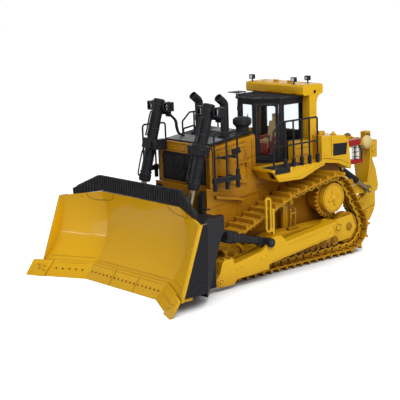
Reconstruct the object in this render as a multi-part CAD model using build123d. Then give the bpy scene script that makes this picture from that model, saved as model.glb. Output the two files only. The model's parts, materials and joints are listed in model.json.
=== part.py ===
"""Die-cast display model of a large crawler bulldozer, with U blade and single-shank ripper.

Millimetres, +X forward, +Y to the machine's left, +Z up, floor at Z = 0.
Stations along X are measured from the middle of the ground run of the tracks.
The finished model is moved along X once, so that its origin is the middle of its footprint.
"""
from build123d import *
import math
import os

# ---- clearances -----------------------------------------------------------------------------
SEAM = 0.1            # seam left between two pieces of one body
RUN = 0.05            # radial clearance of a pin or rod in its hole
SWING = 0.4           # side clearance between two moving pieces
EYE_PLAY = 0.45       # play of a lift rod's eye about its pin

# ---- tracks ---------------------------------------------------------------------------------
TRACK_GAUGE = 57.9
TRACK_Y = TRACK_GAUGE / 2
SHOE_WIDTH = 14.2
SHOE_IN_Y, SHOE_OUT_Y = TRACK_Y - SHOE_WIDTH / 2, TRACK_Y + SHOE_WIDTH / 2
SHOE_COUNT = 43
SHOE_PHASE = 0.35     # where the first shoe starts, as a share of one pitch
GROUSER_TIP = 4.2     # outward from the pin line
PLATE_OUT = 2.1
PLATE_IN = 1.4
LINK_IN = 1.7         # inward from the pin line
CHAIN_WIDTH = 5.2
RAIL_WIDTH = 1.6
SHOE_PROFILE = ((0.04, PLATE_OUT), (0.66, PLATE_OUT), (0.80, GROUSER_TIP),
                (0.90, GROUSER_TIP), (0.97, PLATE_OUT))    # share of the pitch, offset

FRONT_IDLER_X = 41.5
FRONT_IDLER_R = 9.0   # radii here are those of the pin line round each wheel
REAR_IDLER_X = -42.5
REAR_IDLER_R = 10.4
SPROCKET_X, SPROCKET_Z = -30.7, 33.2
SPROCKET_R = 10.8
CARRIER_X, CARRIER_Z = 0.0, 35.3
CARRIER_R = 1.5       # the roller itself
SPROCKET_TEETH = 27
TOOTH_R = 11.2
TOOTH_ROOT_R = 9.6
TOOTH_WIDTH = 1.5
HUB_R = 8.2
HUB_FACE_Y = TRACK_Y + 4.05
ROLLER_R = 3.0
ROLLER_COUNT = 8
ROLLER_PITCH = 8.6
WHEEL_WIDTH = 4.8

# ---- track frames ---------------------------------------------------------------------------
FRAME_IN_Y, FRAME_OUT_Y = TRACK_Y - 4.35, TRACK_Y + 4.25
FORK_PLATE = 1.3
TRUNNION_X, TRUNNION_Z = -23.5, 19.1
TRUNNION_R = 2.0

# ---- main hull ------------------------------------------------------------------------------
HULL_HALF = SHOE_IN_Y - 1.45
SKIRT_HALF = SHOE_IN_Y - 0.65    # side ledges of the hull, above the tracks
NOSE_X = 50.5
LEDGE_NOSE_Z = 48.6
LEDGE_BEND = (34.0, 44.4)        # X and Z where the ledge changes slope
LEDGE_REAR_Z = 43.3
HULL_BOTTOM = 13.0
BELLY_PLATE = 1.2
DECK_Z = 46.0         # top of the hull below the hood
SCREW_SPACING = 50.0  # display-base screws through the belly plate
SCREW_R = 1.5
SCREW_BOSS_DEPTH = 6.0

# ---- hood and radiator ----------------------------------------------------------------------
HOOD_REAR_X, HOOD_FRONT_X = 16.0, 45.4
HOOD_CORE_HALF = 17.6
HOOD_SIDE_Y = SKIRT_HALF
HOOD_TOP_FRONT, HOOD_TOP_REAR = 69.6, 73.4
HOOD_DECK = 1.0
GUARD_FRONT_X = 48.0
GUARD_HALF = HOOD_SIDE_Y
GUARD_TOP = 70.2
GUARD_BORDER_TOP, GUARD_BORDER_SIDE = 5.4, 3.0
GUARD_OPENING_BOTTOM = 49.2
GRILLE_DEPTH = 1.2

# ---- stacks and pre-cleaners ----------------------------------------------------------------
STACK_Y, STACK_X = 10.3, 27.4
STACK_R = 2.25
STACK_BEND_Z = 89.6
CLEANER_X, CLEANER_Y, CLEANER_R = 20.0, 15.8, 5.0

# ---- cab ------------------------------------------------------------------------------------
CAB_FRONT_X, CAB_FRONT_HALF = 3.0, 6.6
CAB_SIDE_X, CAB_SIDE_Y = -7.4, 17.0
CAB_REAR_X = -24.9
CAB_FLOOR_Z, CAB_TOP_Z = 54.2, 88.6
CAB_WALL = 1.1
ROOF_THICK = 1.0
ROOF_OVERHANG = 1.0
GLASS = 0.4

# ---- roll-over bar --------------------------------------------------------------------------
POST_X = (-28.6, -23.2)
POST_Y = (CAB_SIDE_Y + 0.5, CAB_SIDE_Y + 5.9)
HEADER_X = (-33.6, -18.4)
HEADER_Z = (89.8, 95.4)
HEADER_HALF = POST_Y[1]

# ---- fenders, rails and tank ----------------------------------------------------------------
FENDER_IN_Y, FENDER_OUT_Y = HOOD_SIDE_Y + SEAM, SHOE_OUT_Y + 1.35
FENDER_TOP = 55.6
FENDER_FRONT_X, FENDER_REAR_X = 19.0, -19.6
FENDER_SKIN = 1.4
RAIL_Y = FENDER_OUT_Y - 0.4
RAIL_R = 0.5
RAIL_TOP, RAIL_MID = 80.0, 67.3
FOOT_R = 1.1
TANK_HALF = 30.0
TANK_FRONT_X = -25.0
BOTTLE_X, BOTTLE_Y = -57.3, 26.0
BOTTLE_Z = (50.9, 58.8)

# ---- blade ----------------------------------------------------------------------------------
CREASE_Y = 31.3       # at the top of the centre cutting edge
CREASE_LEAN = 0.2     # how far the crease moves out for each millimetre it goes back
BLADE_END_Y = 58.4
END_PLATE = 1.4
END_LINER = 0.6
LINER_DEPTH = 7.6
BLADE_SKIN = 1.5
#            x, z of the front face at: bottom, middle, top
CENTRE_FACE = ((86.0, 6.6), (75.2, 25.6), (78.3, 44.9))
WING_FACE = ((100.4, 6.8), (88.0, 23.8), (87.6, 41.0))
EDGE_THICK = 1.2
CENTRE_EDGE_X = 93.3
WING_EDGE_X = 108.4
END_BIT_Y = (52.0, 63.5)
END_BIT_TIP_X = 110.4
GUARD_PLATE = 1.3
ROCK_GUARD_TOP = 53.3
BACK_REAR_X = 68.6
BACK_Z = (3.0, 40.0)

# ---- push arms, braces and lift cylinders ---------------------------------------------------
ARM_Y = (SHOE_OUT_Y + 1.35, SHOE_OUT_Y + 6.95)
ARM_EYE_R = 3.6
ARM_FRONT_X = 64.4
BRACE_FRONT = (61.2, ARM_Y[1] + 1.5, 29.0)
BRACE_REAR = (27.4, ARM_Y[0] + 2.8, 19.6)
BRACE_EYE = 2.4               # width of the brace's rear eye
BRACE_PIN_R = 1.1
LIFT_Y = 20.4
LIFT_TOP = (53.05, 68.65)      # trunnion, X and Z
LIFT_PIN = (66.2, 24.4)        # pin on the back of the blade, X and Z
LIFT_PIN_R = 1.0
LIFT_TUBE_R = 2.85
LIFT_ROD_R = 1.5
LIFT_TUBE_UP, LIFT_TUBE_DOWN = 23.6, 19.6    # from the trunnion to the two ends of the tube
LIFT_ROD_IN = 1.5              # from the trunnion to the rod's inner end, blade down
LIFT_EYE_R = 2.6
LIFT_COLLAR = 3.5              # half width of the collar round the tube

# ---- ripper ---------------------------------------------------------------------------------
RIPPER_LINK_PIN = (-59.0, 29.5)      # lower link on the tractor, X and Z
RIPPER_LINK = (-25.5, -2.0)          # from the tractor's pins to the carriage's pins
RIPPER_TIP_PIN = (-60.0, 56.4)       # tip cylinders on the tractor
CARRIAGE_FRONT_X = -89.2
CARRIAGE_REAR_X = CARRIAGE_FRONT_X - 6.2
CARRIAGE_HALF = 6.8
CARRIAGE_Z = (45.2, 55.6)
CARRIAGE_PLATE = 1.4                 # front plate
CARRIAGE_WALL = 0.6                  # rear wall of the pocket
SHANK_HALF = 2.3
SHANK_REAR_X = -101.4
RIPPER_PIN_R = 1.4
RIPPER_LUG = (-58.5, 44.5)           # ripper lift cylinders on the tractor, X and Z
RIPPER_CYL_Y = 9.5
RIPPER_CYL_R = 1.9
RIPPER_ROD_R = 1.1
RIPPER_EYE = 3.2                     # width of the lift barrels' eyes
RIPPER_ARM_Y = (4.6, 7.4)            # cheeks of the lower link
RIPPER_TIP_Y = (4.6, 8.2)            # eyes of the tip cylinders
RIPPER_EAR_Y = (RIPPER_TIP_Y[1] + 0.2, RIPPER_TIP_Y[1] + 2.2)
RIPPER_PIN_CAP = 0.8                 # closed end of the lower link's eyes
CARRIAGE_EAR_Y = (2.9, RIPPER_ARM_Y[0] - 0.3)

ORIGIN_X = (END_BIT_TIP_X + SHANK_REAR_X) / 2


# ---- shape helpers --------------------------------------------------------------------------
def block(x, y, z):
    """Box from three (low, high) pairs."""
    size = (abs(x[1] - x[0]), abs(y[1] - y[0]), abs(z[1] - z[0]))
    return Pos((x[0] + x[1]) / 2, (y[0] + y[1]) / 2, (z[0] + z[1]) / 2) * Box(*size)


def along_y(points, y):
    """Outline in X and Z, carried from y[0] to y[1]."""
    face = Plane.XZ.offset(-y[1]) * make_face(Polyline(*points, close=True))
    return extrude(face, amount=y[1] - y[0])


def along_x(points, x):
    """Outline in Y and Z, carried from x[0] to x[1]."""
    face = Plane.YZ.offset(x[0]) * make_face(Polyline(*points, close=True))
    return extrude(face, amount=x[1] - x[0])


def along_z(points, z):
    """Outline in X and Y, carried from z[0] to z[1]."""
    face = Plane.XY.offset(z[0]) * make_face(Polyline(*points, close=True))
    return extrude(face, amount=z[1] - z[0])


def bar(start, end, radius):
    """Round bar between two points."""
    start, end = Vector(*start), Vector(*end)
    length = (end - start).length
    ends = (Align.CENTER, Align.CENTER, Align.MIN)
    return Plane(origin=start, z_dir=end - start) * Cylinder(radius, length, align=ends)


def pin_y(x, z, radius, y):
    """Round bar along Y, from y[0] to y[1]."""
    return bar((x, y[0], z), (x, y[1], z), radius)


def pipe(points, radius, bend):
    """Round tube bent through a list of points."""
    path = FilletPolyline(*points, radius=bend)
    return sweep(Plane(origin=path @ 0, z_dir=path % 0) * Circle(radius), path=path)


def mirrored(piece):
    """The same piece on the machine's other side."""
    return mirror(piece, about=Plane.XZ)


def both(piece):
    """A piece and its twin on the other side."""
    return [piece, mirrored(piece)]


# ---- track loop -----------------------------------------------------------------------------
def loop_wheels():
    """Centre X, centre Z and pin-line radius of each wheel, counter-clockwise from the front."""
    ground = GROUSER_TIP
    return ((FRONT_IDLER_X, FRONT_IDLER_R + ground, FRONT_IDLER_R),
            (CARRIER_X, CARRIER_Z, CARRIER_R + LINK_IN),
            (SPROCKET_X, SPROCKET_Z, SPROCKET_R),
            (REAR_IDLER_X, REAR_IDLER_R + ground, REAR_IDLER_R))


def loop_spans():
    """Arcs and straight runs of the pin line, each with its length."""
    wheels = loop_wheels()
    leave = []
    for here, after in zip(wheels, wheels[1:] + wheels[:1]):
        across, rise = after[0] - here[0], after[1] - here[1]
        gap = math.hypot(across, rise)
        leave.append(math.atan2(rise, across) - math.acos((here[2] - after[2]) / gap))
    spans = []
    for index, (x, z, radius) in enumerate(wheels):
        start, end = leave[index - 1], leave[index]
        while end < start:
            end += 2 * math.pi
        spans.append(("arc", x, z, radius, start, end, radius * (end - start)))
        nx, nz = math.cos(end), math.sin(end)
        after = wheels[(index + 1) % len(wheels)]
        first = (x + radius * nx, z + radius * nz)
        last = (after[0] + after[2] * nx, after[1] + after[2] * nz)
        spans.append(("run", first, last, nx, nz, math.dist(first, last)))
    return spans


LOOP = loop_spans()
LOOP_LENGTH = sum(span[-1] for span in LOOP)
SHOE_PITCH = LOOP_LENGTH / SHOE_COUNT


def loop_point(along, offset):
    """X and Z of the point at a length along the pin line, moved outward by an offset."""
    along %= LOOP_LENGTH
    for span in LOOP:
        if along <= span[-1]:
            break
        along -= span[-1]
    if span[0] == "arc":
        _, x, z, radius, start, _, _ = span
        angle = start + along / radius
        reach = radius + offset
        return (x + reach * math.cos(angle), z + reach * math.sin(angle))
    _, first, last, nx, nz, length = span
    share = along / length
    return (first[0] + (last[0] - first[0]) * share + nx * offset,
            first[1] + (last[1] - first[1]) * share + nz * offset)


def loop_outline(stops, count=SHOE_COUNT):
    """Closed outline with the same stops (share of the pitch, offset) on every shoe."""
    return [loop_point((shoe + SHOE_PHASE + share) * SHOE_PITCH, offset)
            for shoe in range(count) for share, offset in stops]


def track():
    """Left track as one fixed loop: shoes with grousers, carried by two link rails."""
    middle = TRACK_Y
    shoe_y = (SHOE_IN_Y, SHOE_OUT_Y)
    shoes = along_y(loop_outline(SHOE_PROFILE), shoe_y)
    shoes -= along_y(loop_outline(((0.04, PLATE_IN), (0.5, PLATE_IN))), shoe_y)
    rail_outer = loop_outline(((0.04, PLATE_IN), (0.5, PLATE_IN)))
    rail_inner = loop_outline(((0.04, -LINK_IN), (0.5, -LINK_IN)))
    loop = shoes
    for low in (middle - CHAIN_WIDTH / 2, middle + CHAIN_WIDTH / 2 - RAIL_WIDTH):
        loop += along_y(rail_outer, (low, low + RAIL_WIDTH)) - along_y(rail_inner, (low, low + RAIL_WIDTH))
    return loop


# ---- undercarriage --------------------------------------------------------------------------
WHEEL_Y = (TRACK_Y - WHEEL_WIDTH / 2, TRACK_Y + WHEEL_WIDTH / 2)


def sprocket():
    """Toothed ring that drives the left track."""
    middle = TRACK_Y
    stops = ((0.0, TOOTH_ROOT_R), (0.28, TOOTH_ROOT_R), (0.5, TOOTH_R), (0.66, TOOTH_R),
             (0.94, TOOTH_ROOT_R))
    points = []
    for tooth in range(SPROCKET_TEETH):
        for share, radius in stops[:4]:
            angle = 2 * math.pi * (tooth + share) / SPROCKET_TEETH
            points.append((SPROCKET_X + radius * math.cos(angle), SPROCKET_Z + radius * math.sin(angle)))
    ring = along_y(points, (middle - TOOTH_WIDTH / 2, middle + TOOTH_WIDTH / 2))
    return ring - pin_y(SPROCKET_X, SPROCKET_Z, HUB_R - 1.0 + SEAM, (middle - 2, middle + 2))


def final_drive():
    """Left final drive: hub drum through the sprocket, and its case on the hull."""
    middle = TRACK_Y
    drum = pin_y(SPROCKET_X, SPROCKET_Z, HUB_R, (middle + TOOTH_WIDTH / 2 + SEAM, HUB_FACE_Y))
    core = pin_y(SPROCKET_X, SPROCKET_Z, HUB_R - 1.0, (HULL_HALF + SEAM, HUB_FACE_Y - 1))
    inner = pin_y(SPROCKET_X, SPROCKET_Z, HUB_R, (HULL_HALF + SEAM, middle - TOOTH_WIDTH / 2 - SEAM))
    return drum + core + inner


def idler(wheel):
    """Plain wheel with a raised rim, inside the left track."""
    x, z, radius = wheel
    rim = radius - LINK_IN - 0.2
    disc = pin_y(x, z, rim, WHEEL_Y)
    for low, high in ((WHEEL_Y[0] - 1, WHEEL_Y[0] + 1.2), (WHEEL_Y[1] - 1.2, WHEEL_Y[1] + 1)):
        disc -= pin_y(x, z, rim - 1.6, (low, high)) - pin_y(x, z, 2.4, (low - 1, high + 1))
    return disc


def roller_stations():
    """X of each bottom roller."""
    first = -ROLLER_PITCH * (ROLLER_COUNT - 1) / 2
    middle = (FRONT_IDLER_X + REAR_IDLER_X) / 2
    return [middle + first + ROLLER_PITCH * index for index in range(ROLLER_COUNT)]


ROLLER_Z = GROUSER_TIP + LINK_IN + SEAM + ROLLER_R


def rollers():
    """Bottom rollers and the carrier roller of the left track."""
    wheels = [pin_y(x, ROLLER_Z, ROLLER_R, WHEEL_Y) for x in roller_stations()]
    wheels.append(pin_y(CARRIER_X, CARRIER_Z, CARRIER_R - SEAM, WHEEL_Y))
    return wheels


def track_frame():
    """Left track frame: box beam over the rollers, idler forks, carrier post and trunnion."""
    front_axle = loop_wheels()[0]
    rear_axle = loop_wheels()[3]
    beam = along_y(((33.6, 8.0), (33.6, 14.6), (17.0, 20.2), (-20.0, 20.6), (-32.4, 20.6), (-32.4, 8.0)),
                   (FRAME_IN_Y, FRAME_OUT_Y))
    for x in roller_stations():
        beam -= pin_y(x, ROLLER_Z, ROLLER_R + 0.4, (WHEEL_Y[0] - 0.3, WHEEL_Y[1] + 0.3))
    slot_y = (WHEEL_Y[0] - 0.3, WHEEL_Y[1] + 0.3)
    beam -= block((-34, 34), slot_y, (7, ROLLER_Z))
    frame = beam
    rear_plate = ((-30, 20.6), (-44.6, 22.0), (-48.4, 14.4), (-44, 8.6), (-34.9, 8.0), (-30, 8.0))
    front_plate = ((33, 14.6), (46.5, 13.4), (47.6, 9.0), (44.0, 6.6), (33, 8.0))
    for low, high in ((FRAME_IN_Y, FRAME_IN_Y + FORK_PLATE), (FRAME_OUT_Y - FORK_PLATE, FRAME_OUT_Y)):
        frame += along_y(rear_plate, (low, high)) + along_y(front_plate, (low, high))
    fork_y = (FRAME_IN_Y + 0.5, FRAME_OUT_Y - 0.5)
    for x, z, _ in (front_axle, rear_axle):
        frame += pin_y(x, z, 2.0, (WHEEL_Y[1] + SEAM, fork_y[1]))
        frame += pin_y(x, z, 2.0, (fork_y[0], WHEEL_Y[0] - SEAM))
    post_y = (FRAME_IN_Y, WHEEL_Y[0] - SEAM)
    post = block((CARRIER_X - 1.6, CARRIER_X + 1.6), post_y, (20, CARRIER_Z + 1.0))
    frame += post
    boss = pin_y(TRUNNION_X, TRUNNION_Z, ARM_EYE_R, (FRAME_OUT_Y - 0.5, ARM_Y[0] - SWING))
    stub = pin_y(TRUNNION_X, TRUNNION_Z, TRUNNION_R, (FRAME_OUT_Y - 0.5, ARM_Y[1]))
    return frame + boss + stub


def cross_members():
    """Pivot shaft and equaliser bar that join the hull to both track frames."""
    shaft = pin_y(-8.0, 16.0, 3.0, (HULL_HALF + SEAM, FRAME_IN_Y - SEAM))
    equaliser = block((26.0, 31.0), (HULL_HALF + SEAM, FRAME_IN_Y - SEAM), (10.5, 14.0))
    return both(shaft) + both(equaliser)


# ---- hull, hood and radiator ----------------------------------------------------------------
def ledge_z(x):
    """Height of the hull's side ledges: they drop from the nose to the rear."""
    if x > LEDGE_BEND[0]:
        share = (x - LEDGE_BEND[0]) / (NOSE_X - LEDGE_BEND[0])
        return LEDGE_BEND[1] + (LEDGE_NOSE_Z - LEDGE_BEND[1]) * share
    share = (x - HOOD_REAR_X) / (LEDGE_BEND[0] - HOOD_REAR_X)
    return LEDGE_REAR_Z + (LEDGE_BEND[1] - LEDGE_REAR_Z) * share


def ledge_line(start, end, lift):
    """Points along the top of a side ledge, from one station to another, raised by an amount."""
    stations = [start, LEDGE_BEND[0], end]
    return [(x, ledge_z(x) + lift) for x in stations]


def hull():
    """Main case between the tracks, with side ledges and two blind screw holes in its underside."""
    body = along_y(((46.0, 25.0), (46.0, DECK_Z), (-24.4, DECK_Z), (-24.4, 51.0), (-47.4, 51.0),
                    (-47.4, 26.0), (-41.0, HULL_BOTTOM), (36.0, HULL_BOTTOM)),
                   (-HULL_HALF, HULL_HALF))
    seat_x = GUARD_FRONT_X + SEAM
    nose = ((40.0, 24.0), (47.0, 24.0), (NOSE_X, 33.0), (NOSE_X, ledge_z(NOSE_X)),
            (seat_x, ledge_z(seat_x)), (seat_x, DECK_Z), (40.0, DECK_Z))
    body += along_y(nose, (-HULL_HALF, HULL_HALF))
    ledge = along_y([(NOSE_X, 38.0), (14.0, 42.4)] + ledge_line(HOOD_REAR_X - 2.0, NOSE_X, 0),
                    (HOOD_CORE_HALF, SKIRT_HALF))
    step_y = (HULL_HALF - 0.4, SKIRT_HALF + 2.0)
    step = along_y(((45.6, 44.4), (26.6, 40.4), (26.6, 39.2), (45.6, 42.8)), step_y)
    above = [(NOSE_X + 1, 60), (HOOD_REAR_X - SEAM, 60)]
    cut = along_y(above + ledge_line(HOOD_REAR_X - SEAM, NOSE_X + 1, 0),
                  (HOOD_CORE_HALF + SEAM / 2, HULL_HALF + 9))
    for side in (ledge, mirrored(ledge)):
        body += side
    body -= cut
    body -= mirrored(cut)
    body += step
    body += mirrored(step)
    for side in (-1, 1):
        x = ORIGIN_X + side * SCREW_SPACING / 2
        body -= bar((x, 0, HULL_BOTTOM - 1), (x, 0, HULL_BOTTOM + SCREW_BOSS_DEPTH), SCREW_R)
    return body


def belly_plate():
    """Plate under the hull, drilled for the display-base screws."""
    outline = Pos(-2.0, 0) * RectangleRounded(72.0, 30.0, 2.0)
    for side in (-1, 1):
        outline -= Pos(ORIGIN_X + side * SCREW_SPACING / 2, 0) * Circle(SCREW_R)
    return extrude(Plane.XY.offset(HULL_BOTTOM - BELLY_PLATE) * outline, amount=BELLY_PLATE)


def hood_top_z(x):
    """Height of the hood's sloping top at a station."""
    share = (x - HOOD_REAR_X) / (HOOD_FRONT_X - HOOD_REAR_X)
    return HOOD_TOP_REAR + (HOOD_TOP_FRONT - HOOD_TOP_REAR) * share


def hood_core():
    """Engine enclosure below the hood's deck."""
    return along_y(((HOOD_REAR_X, DECK_Z), (HOOD_FRONT_X, DECK_Z),
                    (HOOD_FRONT_X, hood_top_z(HOOD_FRONT_X)), (HOOD_REAR_X, hood_top_z(HOOD_REAR_X))),
                   (-HOOD_CORE_HALF, HOOD_CORE_HALF))


def hood_door():
    """Left engine side panel, with its raised front leaf and a step ledge."""
    y = HOOD_CORE_HALF + SEAM
    panel = along_y([(HOOD_FRONT_X, HOOD_TOP_FRONT - 0.6), (HOOD_REAR_X, HOOD_TOP_REAR - 0.6)]
                    + ledge_line(HOOD_REAR_X, HOOD_FRONT_X, SEAM), (y, HOOD_SIDE_Y))
    upper = [edge for edge in panel.edges().filter_by(Axis.X, tolerance=12)
             if edge.center().Z > 68 and edge.center().Y > HOOD_SIDE_Y - 0.1]
    panel = fillet(upper, 1.4)
    leaf_y = (HOOD_SIDE_Y - 0.4, HOOD_SIDE_Y + 1.6)
    leaf = along_y(((23.0, 48.4), (44.6, 49.6), (44.6, 67.2), (23.0, 69.6)), leaf_y)
    upright = leaf.edges().filter_by(Axis.Z)
    leaf = fillet([edge for edge in upright if edge.center().Y > HOOD_SIDE_Y + 1], 1.2)
    ledge = block((22.4, 31.0), (HOOD_SIDE_Y, HOOD_SIDE_Y + 3.0), (59.4, 60.2))
    return panel + leaf + ledge


def hood_deck():
    """Dark deck over the hood, with its raised rear part."""
    front, rear = HOOD_FRONT_X - SEAM, HOOD_REAR_X
    half = HOOD_SIDE_Y - 2.6
    lip = [(rear, hood_top_z(rear)), (front, hood_top_z(front)),
           (front, hood_top_z(front) + HOOD_DECK), (rear, hood_top_z(rear) + HOOD_DECK)]
    return along_y(lip, (-half, half))


def radiator_guard():
    """Yellow surround of the radiator, open for the grille."""
    cut, inner, foot = 3.0, HOOD_CORE_HALF - SEAM, ledge_z(GUARD_FRONT_X) + SEAM
    half = ((inner, DECK_Z + SEAM), (inner, foot), (GUARD_HALF, foot), (GUARD_HALF, GUARD_TOP - cut),
            (GUARD_HALF - cut * 0.4, GUARD_TOP - cut * 0.4), (GUARD_HALF - cut, GUARD_TOP))
    outline = list(half) + [(-y, z) for y, z in reversed(half)]
    frame = along_x(outline, (HOOD_FRONT_X + SEAM + 0.6, GUARD_FRONT_X))
    return frame - along_x(grille_outline(0), (HOOD_FRONT_X, GUARD_FRONT_X + 1))


def grille_outline(inset):
    """Outline of the radiator opening, with cut upper corners."""
    half = GUARD_HALF - GUARD_BORDER_SIDE - inset
    top = GUARD_TOP - GUARD_BORDER_TOP - inset
    low = GUARD_OPENING_BOTTOM + inset
    cut = 2.2
    right = [(half, low), (half, top - cut), (half - cut, top)]
    return right + [(-y, z) for y, z in reversed(right)]


def radiator_grille():
    """Dark radiator panel set back in the guard, with a pair of latches."""
    back = HOOD_FRONT_X + SEAM + 0.6
    panel = along_x(grille_outline(SEAM), (back, back + GRILLE_DEPTH))
    for middle in (-2.6, 2.6):
        latch_x = (back + GRILLE_DEPTH - 0.2, back + GRILLE_DEPTH + 0.5)
        panel += block(latch_x, (middle - 1.3, middle + 1.3),
                       (GUARD_OPENING_BOTTOM + 0.3, GUARD_OPENING_BOTTOM + 3.4))
    return panel


def stacks():
    """Two exhaust stacks with their outlets bent forward."""
    pieces = []
    for side in (-1, 1):
        y = side * STACK_Y
        base = hood_top_z(STACK_X) + HOOD_DECK
        tip = (STACK_X + 4.2, y, STACK_BEND_Z + 3.4)
        tube = pipe(((STACK_X, y, base + 0.2), (STACK_X, y, STACK_BEND_Z), tip), STACK_R, 2.6)
        tube -= bar((STACK_X + 2.9, y, STACK_BEND_Z + 2.35), (STACK_X + 5.0, y, STACK_BEND_Z + 4.05),
                    STACK_R - 0.45)
        pieces.append(tube)
    return pieces


def pre_cleaners():
    """Two round air bowls on the hood."""
    pieces = []
    for side in (-1, 1):
        base = hood_top_z(CLEANER_X) + HOOD_DECK + 0.5
        profile = Polyline((0, 0), (3.4, 0), (3.4, 2.4), (CLEANER_R, 4.2), (CLEANER_R, 6.6),
                           (3.6, 7.6), (0, 7.6), close=True)
        bowl = revolve(Plane.XZ * make_face(profile), axis=Axis.Z)
        pieces.append(Pos(CLEANER_X, side * CLEANER_Y, base) * bowl)
    return pieces


def hood_rail():
    """Small grab rail on the right edge of the hood's deck."""
    y, front, rear = -15.4, 34.6, 26.6
    front_z, rear_z = hood_top_z(front) + HOOD_DECK, hood_top_z(rear) + HOOD_DECK
    line = ((front, y, front_z + 0.1), (front, y, front_z + 3.0), (rear, y, front_z + 4.0),
            (rear, y, rear_z + 0.1))
    return pipe(line, RAIL_R, 1.0)


# ---- cab ------------------------------------------------------------------------------------
def cab_plan(grow):
    """Six-sided plan of the cab, moved outward by an amount."""
    slant = grow * math.tan(math.radians(22.5))
    front, rear = CAB_FRONT_X + grow, CAB_REAR_X - grow
    narrow, wide = CAB_FRONT_HALF + slant, CAB_SIDE_Y + grow
    side = CAB_SIDE_X + slant
    return ((front, -narrow), (front, narrow), (side, wide), (rear, wide), (rear, -wide), (side, -wide))


def door_plane(offset):
    """Upright plane of the left door, X along the door towards the rear, and the door's length."""
    start = Vector(CAB_FRONT_X, CAB_FRONT_HALF, 0)
    reach = Vector(CAB_SIDE_X, CAB_SIDE_Y, 0) - start
    run = reach.normalized()
    outward = Vector(run.Y, -run.X, 0)
    return Plane(origin=start + outward * offset, x_dir=run, z_dir=outward), reach.length


DOOR_Z = (56.2, 86.6)
DOOR_MARGIN = 1.3


def rounded(x, z, corner):
    """Rounded rectangle sketch between two (low, high) pairs."""
    middle = ((x[0] + x[1]) / 2, (z[0] + z[1]) / 2)
    return Pos(*middle) * RectangleRounded(x[1] - x[0], z[1] - z[0], corner)


def door_leaf(margin, depth):
    """Prism over the left door's outline, through the wall by a depth on both sides."""
    plane, length = door_plane(0)
    z = (DOOR_Z[0] + margin - DOOR_MARGIN, DOOR_Z[1] - margin + DOOR_MARGIN)
    return extrude(plane * rounded((margin, length - margin), z, 1.2), amount=depth, both=True)


SIDE_WINDOW = ((-24.2, -9.4), (65.8, 85.4))
FRONT_WINDOW = ((-5.2, 5.2), (66.0, 86.0))
REAR_WINDOW = ((-13.0, 13.0), (70.0, 85.4))


def side_window(grow, y):
    """Prism through the cab's side window."""
    x, z = SIDE_WINDOW
    face = Plane.XZ.offset(-y[1]) * rounded((x[0] - grow, x[1] + grow), (z[0] - grow, z[1] + grow), 1.0)
    return extrude(face, amount=y[1] - y[0])


def end_window(window, grow, x):
    """Prism through the cab's front or rear window."""
    y, z = window
    face = Plane.YZ.offset(x[0]) * rounded((y[0] - grow, y[1] + grow), (z[0] - grow, z[1] + grow), 0.9)
    return extrude(face, amount=x[1] - x[0])


def cab_shell():
    """Hollow cab body with door and window openings."""
    shell = along_z(cab_plan(0), (CAB_FLOOR_Z, CAB_TOP_Z))
    shell -= along_z(cab_plan(-CAB_WALL), (CAB_FLOOR_Z + CAB_WALL, CAB_TOP_Z + 1))
    leaf = door_leaf(DOOR_MARGIN, CAB_WALL * 1.6)
    shell -= leaf
    shell -= mirrored(leaf)
    shell -= side_window(0, (-CAB_SIDE_Y - 1, CAB_SIDE_Y + 1))
    shell -= end_window(FRONT_WINDOW, 0, (CAB_FRONT_X - CAB_WALL - 1, CAB_FRONT_X + 1))
    shell -= end_window(REAR_WINDOW, 0, (CAB_REAR_X - 1, CAB_REAR_X + CAB_WALL + 1))
    return shell


def cab_door():
    """Left door frame round its tall window."""
    plane, length = door_plane(-CAB_WALL / 2)
    low, high = DOOR_Z
    outer = rounded((DOOR_MARGIN + SEAM, length - DOOR_MARGIN - SEAM), (low + SEAM, high - SEAM), 1.1)
    inner = rounded((DOOR_MARGIN + 1.5, length - DOOR_MARGIN - 1.9), (low + 2.0, high - 1.4), 1.0)
    return extrude(plane * (outer - inner), amount=CAB_WALL / 2, both=True)


def cab_glass():
    """Panes set in the cab's openings."""
    plane, length = door_plane(-CAB_WALL / 2)
    low, high = DOOR_Z
    pane = rounded((DOOR_MARGIN + 1.5 + SEAM, length - DOOR_MARGIN - 1.9 - SEAM),
                   (low + 2.0 + SEAM, high - 1.4 - SEAM), 0.9)
    door = extrude(plane * pane, amount=GLASS / 2, both=True)
    middle = CAB_SIDE_Y - CAB_WALL / 2
    side = side_window(-SEAM, (middle - GLASS / 2, middle + GLASS / 2))
    front_x, rear_x = CAB_FRONT_X - CAB_WALL / 2, CAB_REAR_X + CAB_WALL / 2
    front = end_window(FRONT_WINDOW, -SEAM, (front_x - GLASS / 2, front_x + GLASS / 2))
    rear = end_window(REAR_WINDOW, -SEAM, (rear_x - GLASS / 2, rear_x + GLASS / 2))
    return both(door) + both(side) + [front, rear]


def cab_roof():
    """Roof plate that overhangs the cab and stops ahead of the roll-over bar."""
    z = (CAB_TOP_Z + SEAM, CAB_TOP_Z + SEAM + ROOF_THICK)
    plate = along_z(cab_plan(ROOF_OVERHANG), z)
    notch = block((-60, POST_X[1] + SEAM), (POST_Y[0] - SEAM, 40), z)
    return plate - notch - mirrored(notch)


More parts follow.
